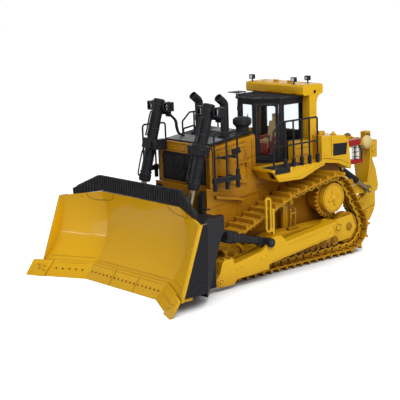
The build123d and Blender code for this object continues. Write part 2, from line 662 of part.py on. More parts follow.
def seat():
    """Operator's seat: base, cushion, back and headrest."""
    floor = CAB_FLOOR_Z + CAB_WALL + SEAM
    base = block((-17.5, -10.5), (-3.2, 3.2), (floor, floor + 5.4))
    cushion = block((-18.5, -9.0), (-4.2, 4.2), (floor + 5.4, floor + 8.4))
    back = along_y(((-18.6, floor + 6.0), (-15.6, floor + 6.0), (-18.0, floor + 19.0),
                    (-20.6, floor + 19.0)), (-4.0, 4.0))
    head = block((-21.2, -18.8), (-2.4, 2.4), (floor + 18.5, floor + 23.0))
    arms = block((-17.5, -8.8), (4.6, 6.4), (floor + 9.6, floor + 11.2))
    arms += block((-16, -14), (4.1, 5.0), (floor + 7, floor + 10))
    return base + cushion + back + head + arms + mirrored(arms)


def console():
    """Instrument console ahead of the seat."""
    floor = CAB_FLOOR_Z + CAB_WALL + SEAM
    return along_y(((0.8, floor), (-3.2, floor), (-3.6, floor + 8.0), (-1.8, floor + 11.5),
                    (0.8, floor + 11.5)), (-4.4, 4.4))


def platform():
    """Base below the cab, from the hood back to the roll-over posts."""
    half = FENDER_IN_Y - SEAM
    return block((-24.2, HOOD_REAR_X - SEAM), (-half, half), (DECK_Z, CAB_FLOOR_Z - SEAM))


def rollover_bar():
    """Roll-over bar: two posts behind the cab and a header across it."""
    header = block(HEADER_X, (-HEADER_HALF, HEADER_HALF), HEADER_Z)
    header = fillet(header.edges().filter_by(Axis.Y), 1.2)
    frame = header
    for side in (-1, 1):
        y = sorted((side * POST_Y[0], side * POST_Y[1]))
        frame += block(POST_X, y, (CAB_FLOOR_Z, HEADER_Z[1] - 1.6))
        gusset = along_y(((POST_X[0] - 3.6, HEADER_Z[0] + 0.5), (POST_X[0] + 1, HEADER_Z[0] + 0.5),
                          (POST_X[0] + 1, HEADER_Z[0] - 4.6), (POST_X[0], HEADER_Z[0] - 4.6),
                          (POST_X[0] - 0.7, HEADER_Z[0] - 2.0), (POST_X[0] - 2.0, HEADER_Z[0] - 0.6)), y)
        frame += gusset
    return frame


def roof_lamps():
    """Work lamps that stand on the roll-over bar."""
    top = HEADER_Z[1]
    lamps = []
    for x, y in ((-20.4, -19.6), (-20.4, 14.0), (-31.0, 14.0)):
        stem = bar((x, y, top + SEAM), (x, y, top + 1.8), 0.4)
        case = block((x - 0.9, x + 1.1), (y - 1.4, y + 1.4), (top + 1.4, top + 3.9))
        lamps.append(stem + case)
    return lamps


# ---- fenders, rails, tank -------------------------------------------------------------------
def fender():
    """Left fender: walkway plate, outer skirt and front box."""
    plate = block((FENDER_REAR_X, FENDER_FRONT_X), (FENDER_IN_Y, FENDER_OUT_Y),
                  (FENDER_TOP - FENDER_SKIN, FENDER_TOP))
    front_line = [(FENDER_FRONT_X, FENDER_TOP), (FENDER_FRONT_X - 4.6, 48.9)]
    arch = [(-2.4, 48.3), (-5.4, 49.2), (-16.2, 52.8), (FENDER_REAR_X, 53.4), (FENDER_REAR_X, FENDER_TOP)]
    skirt = along_y(front_line + arch, (FENDER_OUT_Y - FENDER_SKIN, FENDER_OUT_Y))
    back_line = [(FENDER_FRONT_X - 7.0, 48.9), (FENDER_FRONT_X - 7.0, FENDER_TOP)]
    nose = along_y(front_line + back_line, (FENDER_IN_Y, FENDER_OUT_Y))
    pocket = block((FENDER_FRONT_X - 6.0, FENDER_FRONT_X + 1),
                   (FENDER_OUT_Y - 6.0, FENDER_OUT_Y - 1.6), (50.0, 54.4))
    box = block((-19.4, -8.0), (FENDER_IN_Y, 27.0), (FENDER_TOP - 0.5, 66.2))
    return plate + skirt + nose - pocket + box


def fender_lamp():
    """Lamp in the pocket at the front of the left fender."""
    middle = FENDER_OUT_Y - 3.8
    back = FENDER_FRONT_X - 6.0 + SEAM
    return bar((back, middle, 52.2), (back + 2.0, middle, 52.2), 1.7)


def fender_rail():
    """Handrail along the edge of the left fender, on rubber feet."""
    foot_top = FENDER_TOP + 3.0
    xs = (17.6, 9.1, 3.2, -2.8, -8.6, -14.6)
    rail = pipe(((xs[0], RAIL_Y, FENDER_TOP + 0.1), (xs[0], RAIL_Y, 75.4), (12.2, RAIL_Y, RAIL_TOP),
                 (xs[-1], RAIL_Y, RAIL_TOP), (xs[-1], RAIL_Y, FENDER_TOP + 0.1)), RAIL_R, 1.0)
    rail += bar((xs[0], RAIL_Y, RAIL_MID), (xs[-1], RAIL_Y, RAIL_MID), 0.42)
    for x in xs[1:-1]:
        rail += bar((x, RAIL_Y, FENDER_TOP + 0.1), (x, RAIL_Y, RAIL_TOP), RAIL_R)
    for x in xs[1:]:
        rail += bar((x, RAIL_Y, FENDER_TOP + 0.1), (x, RAIL_Y, foot_top + 1.6), FOOT_R)
    return rail


def step_frame():
    """Grab frame beside the left of the radiator, on a black step with rubber feet."""
    y, low, high = HOOD_SIDE_Y + 8.2, 54.0, 77.4
    rear, middle, front = 36.0, 43.4, 51.6
    frame = pipe(((rear, y, low), (rear, y, high), (front, y, high + 0.4), (front, y, low)), RAIL_R, 1.6)
    frame += bar((middle, y, low), (middle, y, high + 0.2), RAIL_R)
    frame += block((rear - 1.2, front + 1.2), (y - 1.0, y + 1.0), (low - 1.6, low + 1.0))
    frame += bar((rear, y, 65.4), (front, y, 65.4), 0.42)
    hood = HOOD_SIDE_Y + 1.6 + SEAM
    for x in (rear + 1.0, middle):
        frame += bar((x, hood, low), (x, y, low), 0.7)
        frame += bar((x, hood, 64.2), (x, y, 64.2), 0.6)
    for x, top in ((rear, low + 4.2), (middle, low + 1.4), (front, low + 1.4)):
        frame += bar((x, y, low - 5.6), (x, y, top), FOOT_R)
    return frame


def tank():
    """Fuel tank across the rear, flared down behind the fenders, with two filler caps."""
    body = along_y(((TANK_FRONT_X, 53.2), (TANK_FRONT_X, 67.8), (-43.2, 66.2), (-46.2, 62.9),
                    (-48.2, 46.8), (-37.6, 51.4)), (-TANK_HALF, TANK_HALF))
    inner = HULL_HALF + SEAM
    body -= block((-60, -20), (-inner, inner), (40, 51.0 + SEAM))
    for side in (-1, 1):
        y = sorted((side * (POST_Y[0] - SEAM), side * (POST_Y[1] + SEAM)))
        body -= block((POST_X[0] - SEAM, POST_X[1]), y, (CAB_FLOOR_Z - SEAM, 80))
    for y in (8.0, TANK_HALF - 10.0):
        body += bar((-35.0, y, 65.0), (-35.0, y, 68.7), 1.9)
    return body


# ---- blade ----------------------------------------------------------------------------------
def crease_y(x):
    """Where the crease between centre and wing lies at a station."""
    return CREASE_Y + (CENTRE_FACE[0][0] - x) * CREASE_LEAN


def face_section(front, back, side, at_end):
    """Upright section between a front arc and a back arc, each of three X and Z points."""
    def place(point):
        y = BLADE_END_Y if at_end else crease_y(point[0])
        return (point[0], side * y, point[1])
    low, middle, high = (place(point) for point in front)
    back_low, back_middle, back_high = (place(point) for point in back)
    edges = [ThreePointArc(low, middle, high), Line(high, back_high),
             ThreePointArc(back_high, back_middle, back_low), Line(back_low, low)]
    return Face(Wire(edges))


def blade_shell(front_shift, back_shift):
    """Three-part shell along the blade's face, between two shifts of that face along X."""
    sections = []
    for side, at_end, face in ((-1, True, WING_FACE), (-1, False, CENTRE_FACE),
                               (1, False, CENTRE_FACE), (1, True, WING_FACE)):
        front = [(x + front_shift, z) for x, z in face]
        back = [(x + back_shift, z) for x, z in face]
        sections.append(face_section(front, back, side, at_end))
    shell = None
    for first, second in zip(sections, sections[1:]):
        span = loft([first, second], ruled=True)
        shell = span if shell is None else shell + span
    return shell


def end_plate(lead, trail, y):
    """Plate past the left end of the moldboard, between two distances behind its front edge."""
    (low_x, low_z), _, (top_x, top_z) = WING_FACE
    foot = low_z - 1.4
    return along_y(((top_x - lead, top_z - 0.1), (low_x + 0.6 - lead, foot), (low_x + 0.6 - trail, foot),
                    (top_x - min(trail, 5.0), top_z - 0.1)), y)


def end_liner(gap):
    """Inner layer of the left end plate, behind its front edge."""
    return end_plate(1.4, LINER_DEPTH + gap, (BLADE_END_Y - gap, BLADE_END_Y + END_LINER + gap))


def moldboard():
    """Concave face of the blade with its two end plates and their liners."""
    plate = end_plate(0, 1.5, (BLADE_END_Y, BLADE_END_Y + END_PLATE)) + end_liner(0)
    return blade_shell(0, -BLADE_SKIN) + plate + mirrored(plate)


def edge_section(top, bottom_x, station):
    """Sloping section of a cutting edge, down to the floor; station gives Y for each X."""
    x, z = top
    corners = ((x + 0.85, z + 0.9), (bottom_x, 0), (bottom_x - EDGE_THICK * 1.5, 0), (x + 0.12, z - 0.35),
               (x + 0.12, z - 0.05), (x - 0.15, z + 0.9))
    return Face(Wire.make_polygon([(px, station(px), pz) for px, pz in corners], close=True))


def cutting_edges():
    """Bolted cutting edges along the foot of the blade."""
    top, wing_top = CENTRE_FACE[0], WING_FACE[0]
    right = edge_section(top, CENTRE_EDGE_X, lambda x: -crease_y(x))
    left = edge_section(top, CENTRE_EDGE_X, crease_y)
    inner = edge_section(top, CENTRE_EDGE_X, lambda x: crease_y(x) + SEAM)
    outer = edge_section(wing_top, WING_EDGE_X, lambda x: BLADE_END_Y)
    wing = loft([inner, outer], ruled=True) - block((80, 120), (END_BIT_Y[0] - SEAM, 70), (-1, 9))
    return [loft([right, left], ruled=True)] + both(wing)


def end_bits():
    """Flared corner bits at the two lower corners."""
    share = (END_BIT_Y[0] - crease_y(CENTRE_EDGE_X)) / (BLADE_END_Y - crease_y(CENTRE_EDGE_X))
    top_x = CENTRE_FACE[0][0] + (WING_FACE[0][0] - CENTRE_FACE[0][0]) * share
    low_x = CENTRE_EDGE_X + (WING_EDGE_X - CENTRE_EDGE_X) * share

    def section(x_top, x_low, y_top, y_low):
        corners = ((x_top + 1.5, y_top, 7.6), (x_low + 1.2, y_low, 0), (x_low - 0.6, y_low, 0),
                   (x_top + 0.15, y_top, 6.4), (x_top - 0.05, y_top, 7.6))
        return Face(Wire.make_polygon(corners, close=True))

    inner = section(top_x + 0.4, low_x, END_BIT_Y[0], END_BIT_Y[0])
    outer = section(top_x + 6.2, END_BIT_TIP_X - 1.2, END_BIT_Y[1] - 1.2, END_BIT_Y[1] - 1.2)
    bit = loft([inner, outer], ruled=True)
    return both(bit - end_plate(-SEAM, 30, (BLADE_END_Y - SEAM, BLADE_END_Y + END_PLATE + SEAM)))


def rock_guard():
    """Spill guard that stands on the top edge of the blade."""
    x = CENTRE_FACE[2][0] - BLADE_SKIN - 0.1
    centre = along_x(((-33.0, 45.2), (33.0, 45.2), (35.2, ROCK_GUARD_TOP), (-35.2, ROCK_GUARD_TOP)),
                     (x, x + GUARD_PLATE))
    run = Vector(6.4, 20.3, 0).normalized()
    plane = Plane(origin=(x, 33.0, 0), x_dir=run, z_dir=Vector(run.Y, -run.X, 0))
    outline = ((-0.2, 45.2), (19.8, 42.0), (20.0, 45.2), (2.2, ROCK_GUARD_TOP), (-0.2, ROCK_GUARD_TOP))
    wing = extrude(plane * make_face(Polyline(*outline, close=True)), amount=GUARD_PLATE)
    wing -= block((x - 5, x + GUARD_PLATE + 40), (-60, 33.0), (40, 60))
    guard = centre + wing + mirrored(wing)
    return guard - blade_shell(SEAM, -BLADE_SKIN - SEAM)


def blade_back():
    """Box structure behind the moldboard, out to the push arms, with black end plates."""
    side_y = ARM_Y[1] + SEAM
    half = ((92.0, 0), (92.0, 30.0), (100.0, BLADE_END_Y - SEAM), (84.6, BLADE_END_Y - SEAM), (76.0, 51.0),
            (61.2, side_y + 3.4), (61.2, side_y), (ARM_FRONT_X + SEAM, side_y),
            (ARM_FRONT_X + SEAM, ARM_Y[0]), (BACK_REAR_X, ARM_Y[0] - 4.4), (BACK_REAR_X, 0))
    left = along_z(half, BACK_Z)
    left -= along_y(((50, -1), (77.6, -1), (76.4, 3), (66.0, 26.0), (62.6, 31.0), (50, 31.0)), (side_y, 70))
    left += end_plate(1.5 + SEAM, 17.0, (BLADE_END_Y - 1.0, BLADE_END_Y + END_PLATE))
    left -= end_liner(SEAM)
    body = left + mirrored(left)
    body -= blade_shell(60, -BLADE_SKIN - SEAM)
    body -= block((80, 120), (-70, 70), (-1, WING_FACE[0][1] + 0.3))
    for side in (-1, 1):
        slot = 1.3 + SWING
        middle = side * LIFT_Y
        body -= block((50, 72.2), (middle - slot, middle + slot), (18.0, 50.0))
        body -= block((50, 71.6), (middle - 4.6, middle + 4.6), (LIFT_PIN[1] + 2.8, 50.0))
    return body


def push_arm():
    """Left push arm, from the trunnion forward to the blade, with a slot for the brace's eye."""
    outline = ((TRUNNION_X + 3.0, 22.4), (15.0, 18.0), (19.0, 22.0), (24.0, 22.0), (33.0, 16.0), (52.0, 12.8),
               (52.6, 15.8), (58.8, 15.8), (60.0, 14.6), (62.0, 9.0), (ARM_FRONT_X, 6.6), (ARM_FRONT_X, 2.8),
               (62.6, 2.2), (52.6, 2.2), (50.4, 4.4), (28.0, 5.6), (28.0, 8.2), (7.3, 10.9),
               (TRUNNION_X + 3.0, 14.8))
    arm = along_y(outline, ARM_Y)
    arm += pin_y(TRUNNION_X, TRUNNION_Z, ARM_EYE_R, ARM_Y)
    arm += block((TRUNNION_X, TRUNNION_X + 4.0), ARM_Y, (TRUNNION_Z - 3.4, TRUNNION_Z + 3.2))
    arm -= pin_y(TRUNNION_X, TRUNNION_Z, TRUNNION_R + RUN, (ARM_Y[0] - 1, ARM_Y[1] + 1))
    eye = BRACE_EYE / 2 + SEAM
    arm -= block((24.6, 40.0), (BRACE_REAR[1] - eye, BRACE_REAR[1] + eye), (16.9, 24.0))
    arm -= pin_y(BRACE_REAR[0], BRACE_REAR[2], BRACE_PIN_R + RUN, (ARM_Y[0] - 1, ARM_Y[1] + 1))
    return arm


def tilt_brace():
    """Left brace between the push arm and the upper back of the blade, with its rear pin."""
    front, rear = Vector(*BRACE_FRONT), Vector(*BRACE_REAR)
    run = (rear - front).normalized()
    neck = rear + run * -8.4
    body = bar(front + run * 1.1, front + run * 10.0, 3.0)
    body += bar(front + run * 9.0, neck, 2.1)
    y = (BRACE_REAR[1] - BRACE_EYE / 2, BRACE_REAR[1] + BRACE_EYE / 2)
    body += along_y(((rear.X, rear.Z - 2.0), (neck.X + 1.0, neck.Z - 1.6),
                     (neck.X + 1.0, neck.Z + 2.0), (rear.X, rear.Z + 2.2)), y)
    body += pin_y(rear.X, rear.Z, 2.3, y)
    body += pin_y(rear.X, rear.Z, BRACE_PIN_R, (ARM_Y[0], ARM_Y[1] + 0.8))
    return body + pin_y(rear.X, rear.Z, 2.3, (ARM_Y[1] + SEAM, ARM_Y[1] + 1.8))


def hose_guide():
    """Upright slotted guard on the left push arm."""
    y = (ARM_Y[1] - 4.2, ARM_Y[1] - 3.2)
    ring = rounded((22.6, 26.6), (24.0, 42.4), 1.9) - rounded((23.6, 25.6), (25.0, 41.4), 0.9)
    loop = extrude(Plane.XZ.offset(-y[1]) * ring, amount=y[1] - y[0])
    post = block((20.6, 22.0), y, (22.0 + SEAM, 36.0)) + block((21.0, 24.0), y, (24.0, 26.0))
    return loop + post


# ---- lift cylinders -------------------------------------------------------------------------
def lift_line():
    """Trunnion, blade pin and unit direction of a lift cylinder, in X and Z."""
    run = Vector(LIFT_PIN[0] - LIFT_TOP[0], 0, LIFT_PIN[1] - LIFT_TOP[1])
    return run.normalized(), run.length


def lift_at(distance, y=LIFT_Y):
    """Point on the left cylinder's axis at a distance below its trunnion."""
    run, _ = lift_line()
    return (LIFT_TOP[0] + run.X * distance, y, LIFT_TOP[1] + run.Z * distance)


def lift_barrel():
    """Left lift cylinder: tube, head, trunnion collar and the lamp carrier on its head."""
    tube = bar(lift_at(-LIFT_TUBE_UP), lift_at(LIFT_TUBE_DOWN), LIFT_TUBE_R)
    tube += bar(lift_at(LIFT_TUBE_DOWN - 3.2), lift_at(LIFT_TUBE_DOWN), LIFT_TUBE_R + 0.4)
    tube += bar(lift_at(-LIFT_TUBE_UP), lift_at(-LIFT_TUBE_UP + 2.4), LIFT_TUBE_R + 0.3)
    run, _ = lift_line()
    collar = Plane(origin=lift_at(0), x_dir=(0, 1, 0), z_dir=run) * Box(2 * LIFT_COLLAR, 6.8, 5.2)
    pin = pin_y(*LIFT_TOP, 1.4, (LIFT_Y - 7.2, LIFT_Y))
    tube += collar + pin + lamp_carrier()
    tube -= bar(lift_at(-LIFT_TUBE_UP + 1.6), lift_at(LIFT_TUBE_DOWN + 1), LIFT_ROD_R + RUN)
    return tube


def lamp_carrier():
    """Plate with two lamp cases behind the left cylinder's head, joined to its tube."""
    plate = block((43.2, 44.2), (14.6, 27.2), (82.4, 88.0)) - block((43, 45), (18.4, 22.4), (81, 83.4))
    stem = block((44.0, 46.0), (LIFT_Y - 1.4, LIFT_Y + 1.4), (83.6, 86.6))
    cases = None
    for y in (13.9, 27.3):
        case = block((43.6, 47.6), (y - 2.3, y + 2.3), (85.6, 90.4))
        case -= block((45.4, 48), (y - 1.6, y + 1.6), (86.3, 89.7))
        cases = case if cases is None else cases + case
    return plate + stem + cases


def lift_rod():
    """Left lift rod with its eye about the blade's pin."""
    _, length = lift_line()
    rod = bar(lift_at(LIFT_ROD_IN), lift_at(length - LIFT_EYE_R + 0.6), LIFT_ROD_R)
    rod += pin_y(*LIFT_PIN, LIFT_EYE_R, (LIFT_Y - 1.3, LIFT_Y + 1.3))
    return rod - pin_y(*LIFT_PIN, LIFT_PIN_R + EYE_PLAY, (LIFT_Y - 3, LIFT_Y + 3))


def blade_pins():
    """Pins of the lift rods, across the slots in the blade's back."""
    pieces = []
    for side in (-1, 1):
        y = sorted((side * (LIFT_Y - 3.4), side * (LIFT_Y + 3.4)))
        pin = pin_y(*LIFT_PIN, LIFT_PIN_R, y)
        for low, high in ((y[0], y[0] + 1.7 - SEAM), (y[1] - 1.7 + SEAM, y[1])):
            near, far = BACK_REAR_X - SEAM, LIFT_PIN[0] - 2.0
            pin += along_y(((near, LIFT_PIN[1] - 4.0), (far, LIFT_PIN[1] - 2.2),
                            (far, LIFT_PIN[1] + 2.0), (near, LIFT_PIN[1] + 2.6)), (low, high))
        pieces.append(pin)
    return pieces


def trunnion_brackets():
    """Brackets on the radiator guard that hold the lift cylinders' trunnions."""
    y = (LIFT_Y - 7.2, LIFT_Y - LIFT_COLLAR - SWING / 2)
    bracket = block((GUARD_FRONT_X + SEAM, LIFT_TOP[0] + 2.6), y, (LIFT_TOP[1] - 2.6, LIFT_TOP[1] + 2.6))
    return both(bracket - pin_y(*LIFT_TOP, 1.4 + RUN, (y[0] - 1, y[1] + 1)))


# ---- ripper ---------------------------------------------------------------------------------
def carriage_pin(pin):
    """The carriage's end of a ripper link, X and Z."""
    return (pin[0] + RIPPER_LINK[0], pin[1] + RIPPER_LINK[1])


def ripper_bracket():
    """Mount at the rear of the hull with the ripper's fixed pins."""
    lug_in = RIPPER_CYL_Y + RIPPER_CYL_R + SWING / 2
    body = block((-54.0, -47.4 - SEAM), (-13.0, 13.0), (26.0, 51.0))
    body += block((-54.0, -48.4), (-13.0, 13.0), (20.0, 60.0))
    mounts = ((RIPPER_LINK_PIN, RIPPER_EAR_Y[0], RIPPER_EAR_Y[1], RIPPER_ARM_Y[0] - 0.2),
              (RIPPER_TIP_PIN, RIPPER_EAR_Y[0], RIPPER_EAR_Y[1], RIPPER_TIP_Y[0] - 0.2),
              (RIPPER_LUG, lug_in, 13.0, RIPPER_CYL_Y - RIPPER_EYE / 2 - 0.2))
    for side in (-1, 1):
        for (x, z), inner, outer, pin_end in mounts:
            outline = ((-53.0, z - 3.6), (x, z - 2.6), (x - 2.4, z), (x, z + 2.6), (-53.0, z + 3.6))
            body += along_y(outline, sorted((side * inner, side * outer)))
            body += pin_y(x, z, RIPPER_PIN_R, sorted((side * pin_end, side * outer)))
    return body


def ripper_arm():
    """Lower link: two side bars joined by a cross tube, with pins for the lift rods."""
    x, z = RIPPER_LINK_PIN
    far = carriage_pin(RIPPER_LINK_PIN)
    inner, outer = RIPPER_ARM_Y
    cheek = along_y(((x, z + 2.6), (far[0], far[1] + 2.6), (far[0], far[1] - 2.6), (x, z - 2.6)),
                    RIPPER_ARM_Y)
    cheek += pin_y(x, z, 2.6, RIPPER_ARM_Y) + pin_y(*far, 2.6, RIPPER_ARM_Y)
    cheek -= pin_y(x, z, RIPPER_PIN_R + RUN, (inner - 1, outer + 1))
    cheek -= pin_y(*far, RIPPER_PIN_R + RUN, (inner - 1, outer - RIPPER_PIN_CAP))
    cheek += pin_y(*far, 1.0, (outer - RIPPER_PIN_CAP / 2, RIPPER_CYL_Y + 1.6))
    middle = (x + far[0]) / 2
    height = (z + far[1]) / 2
    tube = block((middle - 3.0, middle + 3.0), (-inner - 0.2, inner + 0.2), (height - 2.0, height + 2.0))
    return cheek + mirrored(cheek) + tube


def ripper_tip_links():
    """Tip cylinders between the tractor and the carriage's top, at fixed length."""
    x, z = RIPPER_TIP_PIN
    far = carriage_pin(RIPPER_TIP_PIN)
    inner, outer = RIPPER_TIP_Y
    middle = (inner + outer) / 2
    split = (x + (far[0] - x) * 0.62, middle, z + (far[1] - z) * 0.62)
    body = bar((x, middle, z), split, RIPPER_CYL_R) + bar(split, (far[0], middle, far[1]), 1.2)
    body += pin_y(x, z, 2.6, RIPPER_TIP_Y) + pin_y(*far, 3.2, RIPPER_TIP_Y)
    for pin in (RIPPER_TIP_PIN, far):
        body -= pin_y(*pin, RIPPER_PIN_R + RUN, (inner - 1, outer + 1))
    return both(body)


def ripper_carriage():
    """Tool carriage: box beam, tapered front plate and the ears of the two links."""
    beam = block((CARRIAGE_REAR_X, CARRIAGE_FRONT_X), (-CARRIAGE_HALF, CARRIAGE_HALF), CARRIAGE_Z)
    foot = (CARRIAGE_HALF * 0.55, 25.0)
    plate = along_x(((-CARRIAGE_HALF, CARRIAGE_Z[0]), (-foot[0], foot[1]), foot,
                     (CARRIAGE_HALF, CARRIAGE_Z[0])),
                    (CARRIAGE_FRONT_X - CARRIAGE_PLATE, CARRIAGE_FRONT_X))
    body = beam + plate
    root = CARRIAGE_FRONT_X - 1.0
    lower, upper = carriage_pin(RIPPER_LINK_PIN), carriage_pin(RIPPER_TIP_PIN)
    ears = ((lower, 3.4, 3.0, RIPPER_ARM_Y[1] - RIPPER_PIN_CAP - SEAM), (upper, 2.4, 4.0, RIPPER_TIP_Y[1]))
    for side in (-1, 1):
        for (x, z), up, down, pin_end in ears:
            outline = ((root, z + up), (x, z + 2.4), (x + 2.2, z), (x, z - 2.4), (root, z - down))
            body += along_y(outline, sorted((side * CARRIAGE_EAR_Y[0], side * CARRIAGE_EAR_Y[1])))
            body += pin_y(x, z, RIPPER_PIN_R, sorted((side * CARRIAGE_EAR_Y[0], side * pin_end)))
        cheek = ((-93.0, 25.4), (CARRIAGE_FRONT_X - 0.2, 25.4), (CARRIAGE_FRONT_X, CARRIAGE_Z[0] + 1),
                 (CARRIAGE_REAR_X + 1.0, CARRIAGE_Z[0] + 1), (CARRIAGE_REAR_X + 0.6, 40.0))
        body += along_y(cheek, sorted((side * (SHANK_HALF + SEAM), side * (SHANK_HALF + 1.5))))
    slot = SHANK_HALF + SEAM
    pocket = (CARRIAGE_REAR_X + CARRIAGE_WALL, CARRIAGE_FRONT_X - CARRIAGE_PLATE - 0.2)
    return body - block(pocket, (-slot, slot), (20, 70))


def ripper_shank():
    """Single curved shank held in the carriage's pocket, with its point ahead."""
    front = CARRIAGE_FRONT_X - CARRIAGE_PLATE - 0.2 - SEAM
    rear = CARRIAGE_REAR_X + CARRIAGE_WALL + SEAM
    outline = ((front, 60.2), (rear, 60.5), (rear, CARRIAGE_Z[0] - 1.0), (-96.5, 42.4), (-99.2, 37.0),
               (SHANK_REAR_X, 27.2), (-100.6, 23.8), (-98.5, 23.2), (-98.6, 15.2), (-97.4, 11.6), (-93.8, 6.6),
               (-87.0, 3.6), (-80.6, 2.6), (-83.0, 7.6), (-84.2, 12.0), (-84.4, 19.0), (-85.6, 21.2),
               (-87.6, 21.4), (-89.8, 23.0), (front, 24.6))
    return along_y(outline, (-SHANK_HALF, SHANK_HALF))


def ripper_lift_line():
    """Direction and length of a ripper lift cylinder, from the tractor to the carriage pin."""
    far = carriage_pin(RIPPER_LINK_PIN)
    run = Vector(far[0] - RIPPER_LUG[0], 0, far[1] - RIPPER_LUG[1])
    return run.normalized(), run.length


def ripper_lift_at(distance, y):
    """Point on a ripper lift cylinder's axis."""
    run, _ = ripper_lift_line()
    return (RIPPER_LUG[0] + run.X * distance, y, RIPPER_LUG[1] + run.Z * distance)


def ripper_lift_barrels():
    """Barrels of the two ripper lift cylinders."""
    y = RIPPER_CYL_Y
    body = bar(ripper_lift_at(0, y), ripper_lift_at(19.0, y), RIPPER_CYL_R)
    body += pin_y(*RIPPER_LUG, 2.4, (y - RIPPER_EYE / 2, y + RIPPER_EYE / 2))
    body -= bar(ripper_lift_at(3.4, y), ripper_lift_at(20.0, y), RIPPER_ROD_R + RUN)
    body -= pin_y(*RIPPER_LUG, RIPPER_PIN_R + RUN, (y - 3, y + 3))
    return both(body)


def ripper_lift_rods():
    """Rods of the two ripper lift cylinders, each with an eye beside the lower link."""
    y = RIPPER_CYL_Y
    _, length = ripper_lift_line()
    far = carriage_pin(RIPPER_LINK_PIN)
    rod = bar(ripper_lift_at(9.5, y), ripper_lift_at(length - 1.6, y), RIPPER_ROD_R)
    rod += pin_y(*far, 2.2, (y - 1.0, y + 1.0))
    rod -= pin_y(*far, 1.0 + EYE_PLAY, (y - 3, y + 3))
    return both(rod)


def service_bottles():
    """Two white bottles behind the tank's left side."""
    thin_x = BOTTLE_X + 3.5
    return [bar((BOTTLE_X, BOTTLE_Y, BOTTLE_Z[0]), (BOTTLE_X, BOTTLE_Y, BOTTLE_Z[1]), 1.25),
            bar((thin_x, BOTTLE_Y, BOTTLE_Z[0]), (thin_x, BOTTLE_Y, BOTTLE_Z[1]), 0.6)]


def bottle_brackets():
    """Red brackets that clamp the bottles to the tank's rear."""
    y = (BOTTLE_Y - 1.6, BOTTLE_Y + 1.6)
    low = block((BOTTLE_X - 3.2, -48.3), y, (BOTTLE_Z[0] - 2.4, BOTTLE_Z[0] - SEAM))
    high = block((BOTTLE_X - 1.3, -47.4), y, (BOTTLE_Z[1] + SEAM, BOTTLE_Z[1] + 3.4))
    return low, high


# ---- assembly -------------------------------------------------------------------------------
def nodes():
    """Every node's name with its solids."""
    named = {
        "hull": [hull()],
        "belly_plate": [belly_plate()],
        "cross_members": cross_members(),
        "radiator_guard": [radiator_guard()],
        "radiator_grille": [radiator_grille()],
        "hood_core": [hood_core()],
        "hood_doors": both(hood_door()),
        "hood_deck": [hood_deck()],
        "exhaust_stacks": stacks(),
        "air_precleaners": pre_cleaners(),
        "cab_platform": [platform()],
        "cab_shell": [cab_shell()],
        "cab_doors": both(cab_door()),
        "cab_glass": cab_glass(),
        "cab_roof": [cab_roof()],
        "operator_seat": [seat()],
        "dash_console": [console()],
        "rollover_bar": [rollover_bar()],
        "work_lamps": roof_lamps() + both(fender_lamp()),
        "fenders": both(fender()),
        "fender_rails": both(fender_rail()),
        "grab_rails": both(step_frame()) + [hood_rail()],
        "fuel_tank": [tank()],
        "bottle_brackets": list(bottle_brackets()),
        "service_bottles": service_bottles(),
        "lift_trunnion_brackets": trunnion_brackets(),
        "ripper_bracket": [ripper_bracket()],
        "blade_moldboard": [moldboard()],
        "blade_back": [blade_back()],
        "lift_rod_ears": blade_pins(),
        "cutting_edges": cutting_edges(),
        "end_bits": end_bits(),
        "rock_guard": [rock_guard()],
        "push_arms": both(push_arm()),
        "tilt_braces": both(tilt_brace()),
        "hose_guides": both(hose_guide()),
        "ripper_arm": [ripper_arm()],
        "ripper_tip_cylinders": ripper_tip_links(),
        "ripper_carriage": [ripper_carriage()],
        "ripper_shank": [ripper_shank()],
        "ripper_lift_barrels": ripper_lift_barrels(),
        "ripper_lift_rods": ripper_lift_rods(),
    }
    sided = {"track": track(), "track_frame": track_frame(), "lift_barrel": lift_barrel(),
             "lift_rod": lift_rod()}
    for name, piece in sided.items():
        named[name + "_left"] = [piece]
        named[name + "_right"] = [mirrored(piece)]
    front, rear = loop_wheels()[0], loop_wheels()[3]
    named["idlers"] = both(idler(front)) + both(idler(rear))
    named["track_rollers"] = [solid for roller in rollers() for solid in both(roller)]
    named["sprockets"] = both(sprocket())
    named["final_drives"] = both(final_drive())
    return named


def main():
    os.makedirs("parts", exist_ok=True)
    for name, solids in nodes().items():
        placed = [Pos(-ORIGIN_X, 0, 0) * solid for solid in solids]
        export_step(Compound(children=placed), f"parts/{name}.step")


if __name__ == "__main__":
    main()
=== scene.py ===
"""Crawler bulldozer display model: finishes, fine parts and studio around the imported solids."""
import json
import math

import bmesh
import bpy
from bpy.props import FloatProperty, FloatVectorProperty, IntProperty, PointerProperty
from mathutils import Matrix, Vector
from mathutils.bvhtree import BVHTree


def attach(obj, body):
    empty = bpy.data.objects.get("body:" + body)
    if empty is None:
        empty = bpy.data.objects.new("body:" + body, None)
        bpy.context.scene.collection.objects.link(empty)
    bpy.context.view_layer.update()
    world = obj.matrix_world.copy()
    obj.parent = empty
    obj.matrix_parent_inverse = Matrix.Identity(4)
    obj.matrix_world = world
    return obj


bl_info = {
    "name": "Crawler bulldozer display model",
    "version": (1, 0, 0),
    "blender": (4, 5, 0),
    "location": "3D View > Sidebar > Bulldozer",
    "description": "Finishes and fine parts of a small crawler bulldozer, built around its solids",
    "category": "Object",
}

